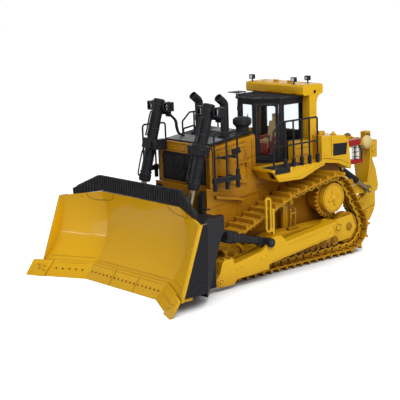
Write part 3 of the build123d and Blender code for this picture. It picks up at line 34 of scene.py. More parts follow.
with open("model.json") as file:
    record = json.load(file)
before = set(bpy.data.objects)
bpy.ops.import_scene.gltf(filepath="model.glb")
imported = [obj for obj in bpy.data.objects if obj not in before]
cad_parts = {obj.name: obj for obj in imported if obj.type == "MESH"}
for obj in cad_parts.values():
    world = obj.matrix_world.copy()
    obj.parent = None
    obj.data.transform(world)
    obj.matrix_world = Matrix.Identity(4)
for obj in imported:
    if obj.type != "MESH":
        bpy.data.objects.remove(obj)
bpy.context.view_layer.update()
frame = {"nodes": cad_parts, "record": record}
NODES = frame["nodes"]
SLOT_OF = {row["node"]: row["material_slot"] for row in frame["record"]["subparts"]}

# ---- machine sizes, in millimetres, forward from the machine's own zero ---------------------
ZERO_X = 4.5        # the model's own origin lies this far ahead of the machine's zero
TRACK_Y = 28.95     # middle of a track
SHOE_WIDTH = 14.2
SHOE_COUNT = 43
SHOE_PHASE = 0.35   # share of a pitch by which the first shoe is along the loop
PLATE_OUT = 2.1     # outer face of a shoe's plate, from the pin line
CHAIN_HALF = 2.6    # outer face of the link rails, from the middle of the track
#         x, z and pin-line radius of: front idler, carrier roller, drive wheel, rear idler
WHEELS = ((41.5, 13.2, 9.0), (0.0, 35.3, 3.2), (-30.7, 33.2, 10.8), (-42.5, 14.6, 10.4))
HUB_FACE_Y = 33.0   # outer face of a drive wheel's cover
FRAME_OUT_Y = 33.2  # outer face of a track frame
ROLLER_Z = 9.0
ROLLER_XS = tuple(-30.6 + 8.6 * index for index in range(8))
TRUNNION = (-23.5, 19.1)    # X and Z of the push arms' pivot
ARM_OUT_Y = 43.0    # outer face of a push arm
CAB_SIDE_Y = 17.0
LIFT_Y = 20.4       # middle of a lift cylinder
LIFT_TOP = (53.05, 68.65)   # X and Z of its trunnion
LIFT_PIN = (66.2, 24.4)     # X and Z of its pin on the blade
CREASE_Y = 32.7     # crease between the blade's middle and its wings
EDGE_HALF = 30.0    # half of the straight cutting edge
FAR = 140           # start of a probe, outside the whole machine

SMALL_BOLT = 0.22   # size of a bolt head in a ring
SMALL_HEAD = 0.2    # and its height
PIPE_STEPS = 6      # bends of a pipe between two of its points
SHARP_ANGLE = math.radians(35)  # edges sharper than this aren't shaded smooth


# ---- placing --------------------------------------------------------------------------------
def at(x, y, z):
    """Point in metres from machine sizes in millimetres."""
    return Vector(((x - ZERO_X) / 1000, y / 1000, z / 1000))


def mm(value):
    return value / 1000


TREES = {}


def tree_of(node):
    """Search tree of a solid's surface."""
    if node not in TREES:
        mesh = NODES[node].data
        points = [vertex.co.copy() for vertex in mesh.vertices]
        TREES[node] = BVHTree.FromPolygons(points, [tuple(face.vertices) for face in mesh.polygons])
    return TREES[node]


def met(node, probes, must=True):
    """Points where probes meet a solid, with the surface's direction there; a probe that must meet it and
    doesn't stops the step."""
    found = []
    for start, toward in probes:
        way = Vector(toward).normalized()
        point, normal, _, _ = tree_of(node).ray_cast(at(*start), way)
        if point is not None:
            found.append((point, (-normal if normal.dot(way) > 0 else normal).normalized()))
        elif must:
            raise RuntimeError(f"nothing of {node} lies ahead of {start}")
    return found


def from_side(points, side=1):
    """Probes from the machine's side at each X and Z."""
    return [((x, side * FAR, z), (0, -side, 0)) for x, z in points]


def from_front(points, side=1):
    """Probes from ahead at each Y and Z, of the left side or the right."""
    return [((FAR, side * y, z), (-1, 0, 0)) for y, z in points]


def from_rear(points, side=1):
    return [((-FAR, side * y, z), (1, 0, 0)) for y, z in points]


def from_above(points, side=1):
    """Probes from overhead at each X and Y, of the left side or the right."""
    return [((x, side * y, FAR), (0, 0, -1)) for x, y in points]


def from_below(points, side=1):
    return [((x, side * y, -FAR), (0, 0, 1)) for x, y in points]


def up(height):
    """Step upward of some millimetres."""
    return Vector((0, 0, mm(height)))


def turns(count, first=0.0):
    """Evenly spaced angles round a circle."""
    return [first + 2 * math.pi * index / count for index in range(count)]


def around(centre, radius, angles, flat=False):
    """Points on an upright circle that faces the machine's side, or on a level one."""
    for angle in angles:
        a, b = mm(radius * math.cos(angle)), mm(radius * math.sin(angle))
        yield centre + Vector((a, b, 0) if flat else (a, 0, b))


def frame_to(origin, normal, along=None):
    """Matrix whose Z follows a direction and whose X lies as near as it can to along."""
    z = Vector(normal).normalized()
    x = Vector(along) if along is not None else Vector((0, 0, 1))
    if abs(x.normalized().dot(z)) > 0.98:
        x = Vector((1, 0, 0))
    x = (x - z * x.dot(z)).normalized()
    y = z.cross(x)
    turn = Matrix((x, y, z)).transposed().to_4x4()
    return Matrix.Translation(origin) @ turn


# ---- shapes ---------------------------------------------------------------------------------
def rounded(shape, edges, radius, segments=2):
    """Round some edges of a shape."""
    if radius > 0 and edges:
        bmesh.ops.bevel(shape, geom=edges, offset=mm(radius), offset_type="OFFSET", segments=segments,
                        profile=0.5, affect="EDGES", clamp_overlap=True, material=-1)


def add_rod(shape, start, end, radius, sides=20):
    """Round bar between two points in metres."""
    run = end - start
    bmesh.ops.create_cone(shape, cap_ends=True, segments=sides, radius1=mm(radius), radius2=mm(radius),
                          depth=run.length, matrix=frame_to((start + end) / 2, run))


def add_cone(shape, place, foot, head, height, sides):
    """Stub between two radii, centred on a matrix and along its Z."""
    bmesh.ops.create_cone(shape, cap_ends=True, segments=sides, radius1=mm(foot), radius2=mm(head),
                          depth=mm(height), matrix=place)


def add_block(shape, low, high, radius=0.15, matrix=None):
    """Box between two corners in millimetres, or about a matrix in its own millimetres."""
    size = [mm(b - a) for a, b in zip(low, high)]
    if matrix is None:
        middle = (at(*low) + at(*high)) / 2
        place = Matrix.Translation(middle)
    else:
        place = matrix @ Matrix.Translation([mm(a + b) / 2 for a, b in zip(low, high)])
    made = bmesh.ops.create_cube(shape, size=1.0, matrix=place @ Matrix.Diagonal((*size, 1)))
    edges = list({edge for vertex in made["verts"] for edge in vertex.link_edges})
    rounded(shape, edges, min(radius, 450 * min(size)), 1 if radius < 0.2 else 2)


def add_plate(shape, outline, low, high, radius=0.15, matrix=None):
    """Outline carried from low to high: of X and Z along Y, or about a matrix along its Z."""
    if matrix is None:
        points = [at(x, low, z) for x, z in outline]
        way = Vector((0, mm(high - low), 0))
    else:
        points = [matrix @ Vector((mm(x), mm(y), mm(low))) for x, y in outline]
        way = matrix.to_3x3() @ Vector((0, 0, mm(high - low)))
    corners = [shape.verts.new(point) for point in points]
    face = shape.faces.new(corners)
    made = bmesh.ops.extrude_face_region(shape, geom=[face])
    raised = [item for item in made["geom"] if isinstance(item, bmesh.types.BMVert)]
    bmesh.ops.translate(shape, verts=raised, vec=way)
    edges = list({edge for vertex in corners + raised for edge in vertex.link_edges})
    faces = list({near for vertex in corners + raised for near in vertex.link_faces})
    bmesh.ops.recalc_face_normals(shape, faces=faces)
    rounded(shape, edges, radius, 1)


def add_turned(shape, matrix, outline, steps=28):
    """Outline of radius and height in millimetres, turned about a matrix's Z."""
    points = [shape.verts.new(matrix @ Vector((mm(max(r, 0.001)), 0, mm(h)))) for r, h in outline]
    edges = [shape.edges.new(pair) for pair in zip(points, points[1:])]
    axis = matrix.to_3x3() @ Vector((0, 0, 1))
    made = bmesh.ops.spin(shape, geom=points + edges, cent=matrix.translation, axis=axis, angle=2 * math.pi,
                          steps=steps, use_merge=True, use_duplicate=False)
    ends = {item for item in made["geom_last"] if isinstance(item, bmesh.types.BMVert)}
    near = {vertex for face in {f for e in ends for f in e.link_faces} for vertex in face.verts}
    near |= set(points)
    pool = [vertex for vertex in shape.verts if vertex in near]
    bmesh.ops.remove_doubles(shape, verts=pool, dist=1e-7)
    bmesh.ops.recalc_face_normals(shape, faces=shape.faces)


def add_disc(shape, centre, normal, radius, height, edge=0.15, sides=24):
    """Round pad that stands on a surface, with its rim rounded off."""
    place = frame_to(centre, normal)
    sunk = -0.15
    add_cone(shape, place @ Matrix.Translation(up((height - edge + sunk) / 2)), radius, radius,
             height - edge - sunk, sides)
    add_cone(shape, place @ Matrix.Translation(up(height - edge / 2)), radius, radius - edge, edge, sides)


def add_ring(shape, centre, normal, outer, inner, height, steps=24):
    """Flat ring that stands on a surface."""
    place = frame_to(centre, normal)
    edge = min(0.12, height / 3)
    outline = ((inner, -0.1), (outer, -0.1), (outer, height - edge), (outer - edge, height), (inner + edge, height),
               (inner, height - edge), (inner, -0.1))
    add_turned(shape, place, outline, steps)


def add_bolt(shape, centre, normal, size, height=None):
    """Hexagon head on a washer."""
    height = size * 0.8 if height is None else height
    place = frame_to(centre, normal)
    add_cone(shape, place @ Matrix.Translation(up(0.02)), size * 1.35, size * 1.3, 0.2, 12)
    add_cone(shape, place @ Matrix.Translation(up(0.1 + height / 2)), size, size * 0.88, height, 6)


def add_line(shape, points, radius, sides=4):
    """Thin line of straight runs through points in metres."""
    for start, end in zip(points, points[1:]):
        if (end - start).length > 1e-7:
            add_rod(shape, start, end, radius, sides)


def add_pipe(shape, points, radius, sides=12):
    """Bent pipe along a smooth line through points in metres."""
    line = smooth_line(points, PIPE_STEPS)
    rings = []
    for index, point in enumerate(line):
        before, after = line[max(index - 1, 0)], line[min(index + 1, len(line) - 1)]
        place = frame_to(point, after - before, Vector((0.31, 0.87, 0.11)))
        made = bmesh.ops.create_circle(shape, cap_ends=index in (0, len(line) - 1), segments=sides,
                                       radius=mm(radius), matrix=place)
        rings.append(made["verts"])
    for first, second in zip(rings, rings[1:]):
        edges = [edge for ring in (first, second) for vertex in ring for edge in vertex.link_edges
                 if edge.other_vert(vertex) in ring]
        bmesh.ops.bridge_loops(shape, edges=list(set(edges)))
    bmesh.ops.recalc_face_normals(shape, faces=shape.faces)


def smooth_line(points, steps):
    """Points of a smooth curve through the given points."""
    padded = [points[0] * 2 - points[1], *points, points[-1] * 2 - points[-2]]
    line = []
    for a, b, c, d in zip(padded, padded[1:], padded[2:], padded[3:]):
        for step in range(steps):
            t = step / steps
            line.append(0.5 * (2 * b + (c - a) * t + (2 * a - 5 * b + 4 * c - d) * t * t
                               + (3 * b - a - 3 * c + d) * t ** 3))
    return [*line, points[-1]]


def add_hole_shade(shape, centre, normal, radius, sides=18):
    """Flat disc of painted shade that stands for a hole's mouth."""
    bmesh.ops.create_circle(shape, cap_ends=True, segments=sides, radius=mm(radius), matrix=frame_to(centre, normal))


def side_block(shape, side, low, high, radius=0.15):
    """Box between two corners given for the left side, or its twin on the right."""
    near, far = sorted((side * low[1], side * high[1]))
    add_block(shape, (low[0], near, low[2]), (high[0], far, high[2]), radius)


def bolt_ring(shape, centre, normal, radius, angles, size=SMALL_BOLT, flat=False):
    """Bolt heads on a circle."""
    for spot in around(centre, radius, angles, flat):
        add_bolt(shape, spot, normal, size, SMALL_HEAD)


def stud(shape, node, probes, size, height=None):
    """Bolt heads where probes meet a solid."""
    for point, normal in met(node, probes):
        add_bolt(shape, point, normal, size, height)


def add_pads(shape, node, probes, low, high, radius=0.15, along=None):
    """Boxes that stand on a solid where probes meet it."""
    for point, normal in met(node, probes):
        add_block(shape, low, high, radius, frame_to(point, normal, along))


def trace(shape, node, probes, radius, sides=4, lift=0.02):
    """Thin line on a solid through the points where probes meet it."""
    add_line(shape, [point + normal * mm(lift) for point, normal in met(node, probes)], radius, sides)


def blank(count):
    """Empty shapes to draw into."""
    return [bmesh.new() for _ in range(count)]


def of_side(side):
    """Name and one-letter name of a side."""
    return ("left", "l") if side > 0 else ("right", "r")


def both_sides(draw):
    """Draw a thing on the machine's left side and again on its right."""
    for side in (1, -1):
        draw(side)


def keep(shape, name, body, material):
    """Make a finished piece of a shape: shaded, painted and carried by a body."""
    mesh = bpy.data.meshes.new(name)
    shape.to_mesh(mesh)
    shape.free()
    mesh.shade_smooth()
    mesh.set_sharp_from_angle(angle=SHARP_ANGLE)
    mesh.materials.append(bpy.data.materials[finish_name(material)])
    piece = bpy.data.objects.new(name, mesh)
    bpy.context.scene.collection.objects.link(piece)
    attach(piece, body)


def keep_all(body, *rows):
    """Keep shapes that one body carries: shape, name, slot and finish of each."""
    for shape, name, slot, material in rows:
        keep(shape, name, body, material)


# ---- finishes -------------------------------------------------------------------------------
class BulldozerPaint(bpy.types.PropertyGroup):
    yellow: FloatVectorProperty(name="Yellow", description="Gloss enamel of the machine", subtype="COLOR",
                                size=3, min=0, max=1, default=(0.80, 0.455, 0.008))
    ochre: FloatVectorProperty(name="Ochre", description="Satin enamel of the tracks", subtype="COLOR",
                               size=3, min=0, max=1, default=(0.60, 0.29, 0.008))
    black: FloatVectorProperty(name="Black", description="Satin enamel of cab, cylinders and rails",
                               subtype="COLOR", size=3, min=0, max=1, default=(0.018, 0.018, 0.021))
    orange_peel: FloatProperty(name="Orange peel", description="Waviness of the enamel", min=0, max=1,
                               default=0.05, subtype="FACTOR")
    # Edge radius: how far edges are rounded in the shading, and how wide the lighter band on them is, partly worn
    # paint and partly painted highlight.
    edge_radius: FloatProperty(name="Edge radius", description="How far an edge's paint thins", min=0,
                               default=mm(0.28), subtype="DISTANCE", unit="LENGTH", precision=5)


def socket(group, name, kind, direction, default=None):
    made = group.interface.new_socket(name=name, in_out=direction, socket_type=kind)
    if default is not None:
        made.default_value = default


def node(tree, kind, inputs=None, **settings):
    """Add a shader node, set it, and link or set its inputs."""
    made = tree.nodes.new(kind)
    for key, value in settings.items():
        setattr(made, key, value)
    for key, value in (inputs or {}).items():
        if isinstance(value, bpy.types.NodeSocket):
            tree.links.new(value, made.inputs[key])
        else:
            made.inputs[key].default_value = value
    return made


def blend_colour(tree, factor, first, second):
    """Mix of two colours; each argument is a socket."""
    return node(tree, "ShaderNodeMix", {0: factor, 6: first, 7: second}, data_type="RGBA", blend_type="MIX",
                clamp_result=True).outputs[2]


def enamel_group():
    """Enamel over a casting: tone drift, painted shade in corners and under parts, lighter edges that are partly worn
    paint and partly painted highlight, waviness.
    """
    group = bpy.data.node_groups.new("Enamel", "ShaderNodeTree")
    for name, value in (("Colour", (0.7, 0.4, 0.05, 1)), ("Drift And Painted Shade Colour", (0.3, 0.12, 0.01, 1)),
                        ("Edge Wear And Highlight Colour", (0.9, 0.6, 0.15, 1)), ("Painted Shade Reach", 0.004), ("Painted Shade Amount", 0.6),
                        ("Edge Wear And Highlight Amount", 0.5), ("Edge Radius", mm(0.28)), ("Drift", 0.12), ("Waviness", 0.05),
                        ("Roughness", 0.3)):
        kind = "NodeSocketFloat" if isinstance(value, float) else "NodeSocketColor"
        socket(group, name, kind, "INPUT", value)
    for name, kind in (("Colour", "Color"), ("Roughness", "Float"), ("Normal", "Vector")):
        socket(group, name, f"NodeSocket{kind}", "OUTPUT")
    into = node(group, "NodeGroupInput").outputs
    out = node(group, "NodeGroupOutput")
    place = node(group, "ShaderNodeTexCoord").outputs["Object"]
    geometry = node(group, "ShaderNodeNewGeometry")
    soft = node(group, "ShaderNodeBevel", {"Radius": into["Edge Radius"]}, samples=4)
    # Lighter edges: where the bevelled normal turns from the true one, the colour goes toward the edge colour, partly
    # as worn paint and partly as a painted highlight.
    turn = node(group, "ShaderNodeVectorMath", {0: soft.outputs["Normal"], 1: geometry.outputs["Normal"]},
                operation="DOT_PRODUCT")
    edge = node(group, "ShaderNodeMapRange", {"Value": turn.outputs["Value"], 1: 0.99, 2: 0.86, 3: 0.0, 4: 1.0})
    chip = node(group, "ShaderNodeTexNoise", {"Vector": place, "Scale": 260.0, "Detail": 3.0})
    worn = node(group, "ShaderNodeMapRange", {"Value": chip.outputs["Fac"], 1: 0.35, 2: 0.62, 3: 0.35, 4: 1.0})
    edge_wear_and_highlight = node(group, "ShaderNodeMath", {0: edge.outputs["Result"], 1: worn.outputs["Result"]},
                operation="MULTIPLY")
    edge_wear_and_highlight = node(group, "ShaderNodeMath", {0: edge_wear_and_highlight.outputs[0], 1: into["Edge Wear And Highlight Amount"]}, operation="MULTIPLY")
    # Painted shade: ambient occlusion darkens the colour in corners, creases and under parts, where shade falls.
    painted_shade = node(group, "ShaderNodeAmbientOcclusion", {"Distance": into["Painted Shade Reach"]}, samples=6)
    shade = node(group, "ShaderNodeMapRange", {"Value": painted_shade.outputs["AO"], 1: 0.25, 2: 0.95, 3: 1.0, 4: 0.0})
    shade = node(group, "ShaderNodeMath", {0: shade.outputs["Result"], 1: into["Painted Shade Amount"]},
                 operation="MULTIPLY")
    cloud = node(group, "ShaderNodeTexNoise", {"Vector": place, "Scale": 38.0, "Detail": 4.0})
    drift = node(group, "ShaderNodeMath", {0: cloud.outputs["Fac"], 1: into["Drift"]}, operation="MULTIPLY")
    base = blend_colour(group, drift.outputs[0], into["Colour"], into["Drift And Painted Shade Colour"])
    base = blend_colour(group, shade.outputs[0], base, into["Drift And Painted Shade Colour"])
    base = blend_colour(group, edge_wear_and_highlight.outputs[0], base, into["Edge Wear And Highlight Colour"])
    ripple = node(group, "ShaderNodeTexNoise", {"Vector": place, "Scale": 900.0, "Detail": 2.0})
    bump = node(group, "ShaderNodeBump", {"Strength": into["Waviness"], "Distance": mm(0.2),
                                          "Height": ripple.outputs["Fac"], "Normal": soft.outputs["Normal"]})
    patch = node(group, "ShaderNodeMapRange", {"Value": cloud.outputs["Fac"], 1: 0.3, 2: 0.7, 3: -0.05, 4: 0.07})
    rough = node(group, "ShaderNodeMath", {0: into["Roughness"], 1: patch.outputs["Result"]}, operation="ADD")
    group.links.new(base, out.inputs["Colour"])
    group.links.new(rough.outputs[0], out.inputs["Roughness"])
    group.links.new(bump.outputs["Normal"], out.inputs["Normal"])


def finish_name(name):
    """Name of a finish made here, apart from the solids' own plain materials."""
    return f"{name}_finish"


def rgba(colour):
    return (*colour, 1.0)


def bare_tree(owner):
    """Emptied shader tree of a material or a world."""
    owner.use_nodes = True
    owner.node_tree.nodes.clear()
    return owner.node_tree


def enamel(name, colour, painted_shade, edge, roughness, coat=0.0, metallic=0.0, gleam=0.06, **amounts):
    """Painted or moulded finish that uses the enamel group."""
    # The second colour is the painted shade in corners and also the tone drift's colour; the third is the colour of
    # lighter edges, partly worn paint and partly painted highlight.
    paint = bpy.context.scene.bulldozer_paint
    tree = bare_tree(bpy.data.materials.new(finish_name(name)))
    mixer = node(tree, "ShaderNodeGroup", node_tree=bpy.data.node_groups["Enamel"])
    values = {"Colour": rgba(colour), "Drift And Painted Shade Colour": rgba(painted_shade), "Edge Wear And Highlight Colour": rgba(edge),
              "Roughness": roughness, "Waviness": paint.orange_peel, "Edge Radius": paint.edge_radius, **amounts}
    for key, value in values.items():
        mixer.inputs[key].default_value = value
    shader = node(tree, "ShaderNodeBsdfPrincipled", {
        "Base Color": mixer.outputs["Colour"], "Roughness": mixer.outputs["Roughness"],
        "Normal": mixer.outputs["Normal"], "Metallic": metallic,
        "Specular IOR Level": gleam, "Coat Weight": coat, "Coat Roughness": 0.06})
    node(tree, "ShaderNodeOutputMaterial", {"Surface": shader.outputs["BSDF"]})


def clear_glass(name, tint):
    """Thin clear moulding that lets light through."""
    tree = bare_tree(bpy.data.materials.new(finish_name(name)))
    place = node(tree, "ShaderNodeTexCoord").outputs["Object"]
    haze = node(tree, "ShaderNodeTexNoise", {"Vector": place, "Scale": 120.0, "Detail": 3.0})
    rough = node(tree, "ShaderNodeMapRange", {"Value": haze.outputs["Fac"], 1: 0.3, 2: 0.8, 3: 0.02, 4: 0.09})
    shader = node(tree, "ShaderNodeBsdfPrincipled", {
        "Base Color": rgba(tint), "Roughness": rough.outputs["Result"], "Transmission Weight": 1.0, "IOR": 1.08})
    node(tree, "ShaderNodeOutputMaterial", {"Surface": shader.outputs["BSDF"]})


class PaintSolids(bpy.types.Operator):
    """Make the finishes and put them on the solids"""
    bl_idname = "bulldozer.paint_solids"
    bl_label = "Paint the solids"

    def execute(self, context):
        paint = context.scene.bulldozer_paint
        enamel_group()
        # Each finish's second colour is painted shade in corners and under parts, also used for its tone drift; its
        # third colour lightens edges, partly as wear and partly as painted highlight.
        enamel("yellow", paint.yellow, (0.30, 0.10, 0.004), (0.92, 0.66, 0.09), 0.30, coat=0.2,
               **{"Painted Shade Reach": 0.014, "Painted Shade Amount": 0.8})
        enamel("ochre", paint.ochre, (0.16, 0.065, 0.012), (0.80, 0.52, 0.10), 0.40,
               **{"Painted Shade Amount": 0.85, "Painted Shade Reach": 0.003, "Edge Wear And Highlight Amount": 0.75, "Drift": 0.35})
        enamel("black", paint.black, (0.006, 0.006, 0.007), (0.16, 0.16, 0.17), 0.36,
               **{"Edge Wear And Highlight Amount": 0.8, "Painted Shade Amount": 0.4})
        enamel("rubber", (0.028, 0.028, 0.030), (0.01, 0.01, 0.01), (0.08, 0.08, 0.08), 0.62)
        enamel("grille", (0.022, 0.021, 0.023), (0.008, 0.008, 0.009), (0.06, 0.06, 0.065), 0.45)
        enamel("steel", (0.17, 0.14, 0.09), (0.08, 0.07, 0.05), (0.5, 0.42, 0.28), 0.36, metallic=1.0, gleam=0.5)
        enamel("seat", (0.56, 0.40, 0.17), (0.25, 0.14, 0.05), (0.75, 0.6, 0.35), 0.5)
        enamel("dash", (0.09, 0.09, 0.09), (0.03, 0.03, 0.03), (0.2, 0.2, 0.2), 0.5)
        enamel("red", (0.36, 0.012, 0.010), (0.12, 0.004, 0.004), (0.62, 0.06, 0.05), 0.28, coat=0.15)
        enamel("maroon", (0.30, 0.035, 0.02), (0.1, 0.01, 0.01), (0.5, 0.1, 0.06), 0.5)
        # Amber is the machine's yellow darkened as painted shade, for parts in the shade of the machine's middle; its
        # wider corner reach deepens the painted shade.
        enamel("shaded_yellow", (0.48, 0.215, 0.007), (0.14, 0.045, 0.004), (0.86, 0.58, 0.08), 0.30, coat=0.08,
               **{"Painted Shade Reach": 0.018, "Painted Shade Amount": 0.85})
        enamel("white", (0.84, 0.84, 0.82), (0.45, 0.45, 0.42), (0.95, 0.95, 0.95), 0.3)
        # Cream is a painted highlight: it stands for light on the yellow domes of the ripper's tip cylinders.
        enamel("highlight_yellow", (0.80, 0.62, 0.24), (0.4, 0.25, 0.08), (0.95, 0.85, 0.5), 0.3, coat=0.15)
        # The dark brown finish colours real panel joints, and is also painted shade in holes and in the gaps behind
        # the track links.
        enamel("brown_joints_and_painted_shade", (0.075, 0.030, 0.007), (0.05, 0.02, 0.006), (0.12, 0.05, 0.01), 0.5)
        enamel("mesh", (0.20, 0.20, 0.205), (0.08, 0.08, 0.08), (0.6, 0.6, 0.6), 0.3, gleam=0.4)
        # The near-black finish colours the grille's joints, and is also painted shade in holes, perforations and the
        # stacks' bores.
        enamel("black_joints_and_painted_shade", (0.004, 0.004, 0.004), (0.002, 0.002, 0.002), (0.01, 0.01, 0.01), 0.7)
        clear_glass("glass", (0.93, 0.96, 0.97))
        clear_glass("lens", (0.96, 0.97, 0.98))
        look = {"chain": "ochre", "chrome": "steel"}
        # The hull, hood, cab platform and radiator guard take the yellow darkened as painted shade.
        shaded_parts = {"hull", "hood_core", "hood_doors", "cab_platform", "radiator_guard"}
        for name, solid in NODES.items():
            wanted = "shaded_yellow" if name in shaded_parts else look.get(SLOT_OF[name], SLOT_OF[name])
            for place in solid.material_slots:
                place.material = bpy.data.materials[finish_name(wanted)]
        return {"FINISHED"}


# ---- blade ----------------------------------------------------------------------------------
class BulldozerDetail(bpy.types.PropertyGroup):
    rib_step: FloatProperty(name="Rib step", description="Spacing of the rock guard's ribs, in millimetres",
                            default=1.9, min=0.8, max=6)
    edge_holes: IntProperty(name="Edge holes", description="Plough bolts in one section of cutting edge",
                            default=6, min=1, max=12)


def blade_top(y):
    """Height of the blade's top edge at a station."""
    return 44.8 - max(abs(y) - 32.8, 0) * 3.9 / 25.6


class BuildBladeFace(bpy.types.Operator):
    """Seams, stiffening pads and edge beads of the blade's face"""
    bl_idname = "bulldozer.blade_face"
    bl_label = "Blade face"

    def execute(self, context):
        seams, beads = blank(2)
        face = "blade_moldboard"

        def draw(side):
            arc = []
            for step in range(17):
                angle = math.pi * step / 16
                y = CREASE_Y - 9.4 * math.cos(angle)
                arc.append((y, blade_top(y) - 0.3 - 4.6 * math.sin(angle) ** 0.8))
            trace(seams, face, from_front(arc, side), 0.13)
            trace(seams, face, from_front(((45.4, 41.6), (45.9, 41.0)), side), 0.16)
            trace(beads, face, from_front([(y, 9.4) for y in (33.6, 40, 46, 52, 57.6)], side), 0.22, 6)
            trace(beads, face, from_front([(58.9, z) for z in (8.5, 16, 24, 32, 40)], side), 0.25, 6, 0.0)

        both_sides(draw)
        trace(beads, face, from_front([(y, 8.6) for y in range(-30, 31, 6)]), 0.22, 6)
        keep_all("blade", (seams, "blade_face_seams", "yellow", "brown_joints_and_painted_shade"),
                 (beads, "blade_face_beads", "yellow", "yellow"))
        return {"FINISHED"}


class BuildCuttingEdges(bpy.types.Operator):
    """Plough bolts, section joints and wear lips of the cutting edges and corner bits"""
    bl_idname = "bulldozer.cutting_edges"
    bl_label = "Cutting edges"

    def execute(self, context):
        count = context.scene.bulldozer_detail.edge_holes
        rims, painted_shade_pieces, joints, lips = blank(4)
        edge, section = "cutting_edges", 2 * EDGE_HALF / 3

        def holes(spots, size):
            for point, normal in met(edge, spots):
                add_ring(rims, point, normal, size + 0.22, size - 0.06, 0.16, 14)
                # A dark disc of painted shade stands for the bolt hole.
                add_disc(painted_shade_pieces, point, normal, size, 0.04, 0.01, 14)

        def lip(low, high, z, side=1):
            spots = [(low + (high - low) * step / 4, z) for step in range(5)]
            trace(lips, edge, from_front(spots, side), 0.17, 6)

        holes(from_front([(section * ((index + 0.5) / count + part) - EDGE_HALF, 3.7)
                          for part in range(3) for index in range(count)]), 0.62)
        for y in (-10.0, 10.0):
            trace(joints, edge, from_front([(y, z) for z in (0.3, 2.0, 4.0, 6.0, 7.4)]), 0.12)
        for low, high in ((-29.6, -10.5), (-9.5, 9.5), (10.5, 29.6)):
            lip(low, high, 6.7)

        def wing(side):
            holes(from_front([(34.6 + 3.5 * index, 4.0) for index in range(5)], side), 0.56)
            lip(34, 50, 6.9, side)
            spots = from_front(((53.6, 3.2), (54.6, 5.2), (56.6, 3.9), (57.6, 5.6)), side)
            for point, normal in met("end_bits", spots):
                add_disc(rims, point, normal, 0.95, 0.5, 0.3, 18)
                add_bolt(rims, point + normal * mm(0.45), normal, 0.5, 0.35)
            curve = [(59.4 + 0.9 * math.sin(step), 1.6 + step * 1.3) for step in range(4)]
            trace(lips, "end_bits", from_front(curve, side), 0.24, 6)

        both_sides(wing)
        keep_all("blade", (rims, "edge_bolt_rims", "yellow", "yellow"), (painted_shade_pieces, "edge_bolt_hole_shade", "yellow", "brown_joints_and_painted_shade"),
                 (joints, "edge_joints", "yellow", "brown_joints_and_painted_shade"), (lips, "edge_lips", "yellow", "yellow"))
        return {"FINISHED"}


class BuildRockGuardRibs(bpy.types.Operator):
    """Upright ribs and rim of the rock guard"""
    bl_idname = "bulldozer.rock_guard_ribs"
    bl_label = "Rock guard ribs"

    def execute(self, context):
        step = context.scene.bulldozer_detail.rib_step
        ribs, rim = blank(2)
        count = int(51.0 // step)
        levels = [41.0 + 13.0 * level / 65 for level in range(66)]
        edge = []
        for index in range(-count, count + 1):
            face = met("rock_guard", from_front([(index * step, z) for z in levels]), must=False)
            if len(face) < 8:
                continue
            edge.append(face[-1][0] + up(0.05))
            (low, _), (high, normal) = face[2], face[-3]
            along = high - low
            add_block(ribs, (0, -0.42, -0.15), (along.length * 1000, 0.42, 0.5), 0.16,
                      frame_to(low, normal, along))
        add_line(rim, edge, 0.34, 8)
        keep_all("blade", (ribs, "rock_guard_ribs", "black", "black"), (rim, "rock_guard_rim", "black", "black"))
        return {"FINISHED"}


class BuildBladeBack(bpy.types.Operator):
    """Plate edges, steps and bolts of the blade's black back and ends"""
    bl_idname = "bulldozer.blade_back"
    bl_label = "Blade back"

    def execute(self, context):
        plates, bolts = blank(2)
        back = "blade_back"

        def draw(side):
            for x, z in ((86.6, 20.6), (87.4, 11.6)):
                side_block(plates, side, (x, 59.6, z), (x + 3.2, 60.25, z + 0.5), 0.12)
            stud(bolts, back, from_above([(70 + 3.0 * index, 46 + 2.2 * index) for index in range(4)], side), 0.5)
            stud(bolts, back, from_rear([(y, z) for z in (12, 20, 28, 36) for y in (6, 12, 28, 33)], side), 0.55)
            add_pads(plates, back, from_rear([(y, 22) for y in (3, 9, 27, 32)], side), (-15, -0.5, -0.2),
                     (15, 0.5, 1.1), 0.2, (0, 0, 1))

        both_sides(draw)
        keep_all("blade", (plates, "blade_back_plates", "black", "black"),
                 (bolts, "blade_back_bolts", "black", "black"))
        return {"FINISHED"}


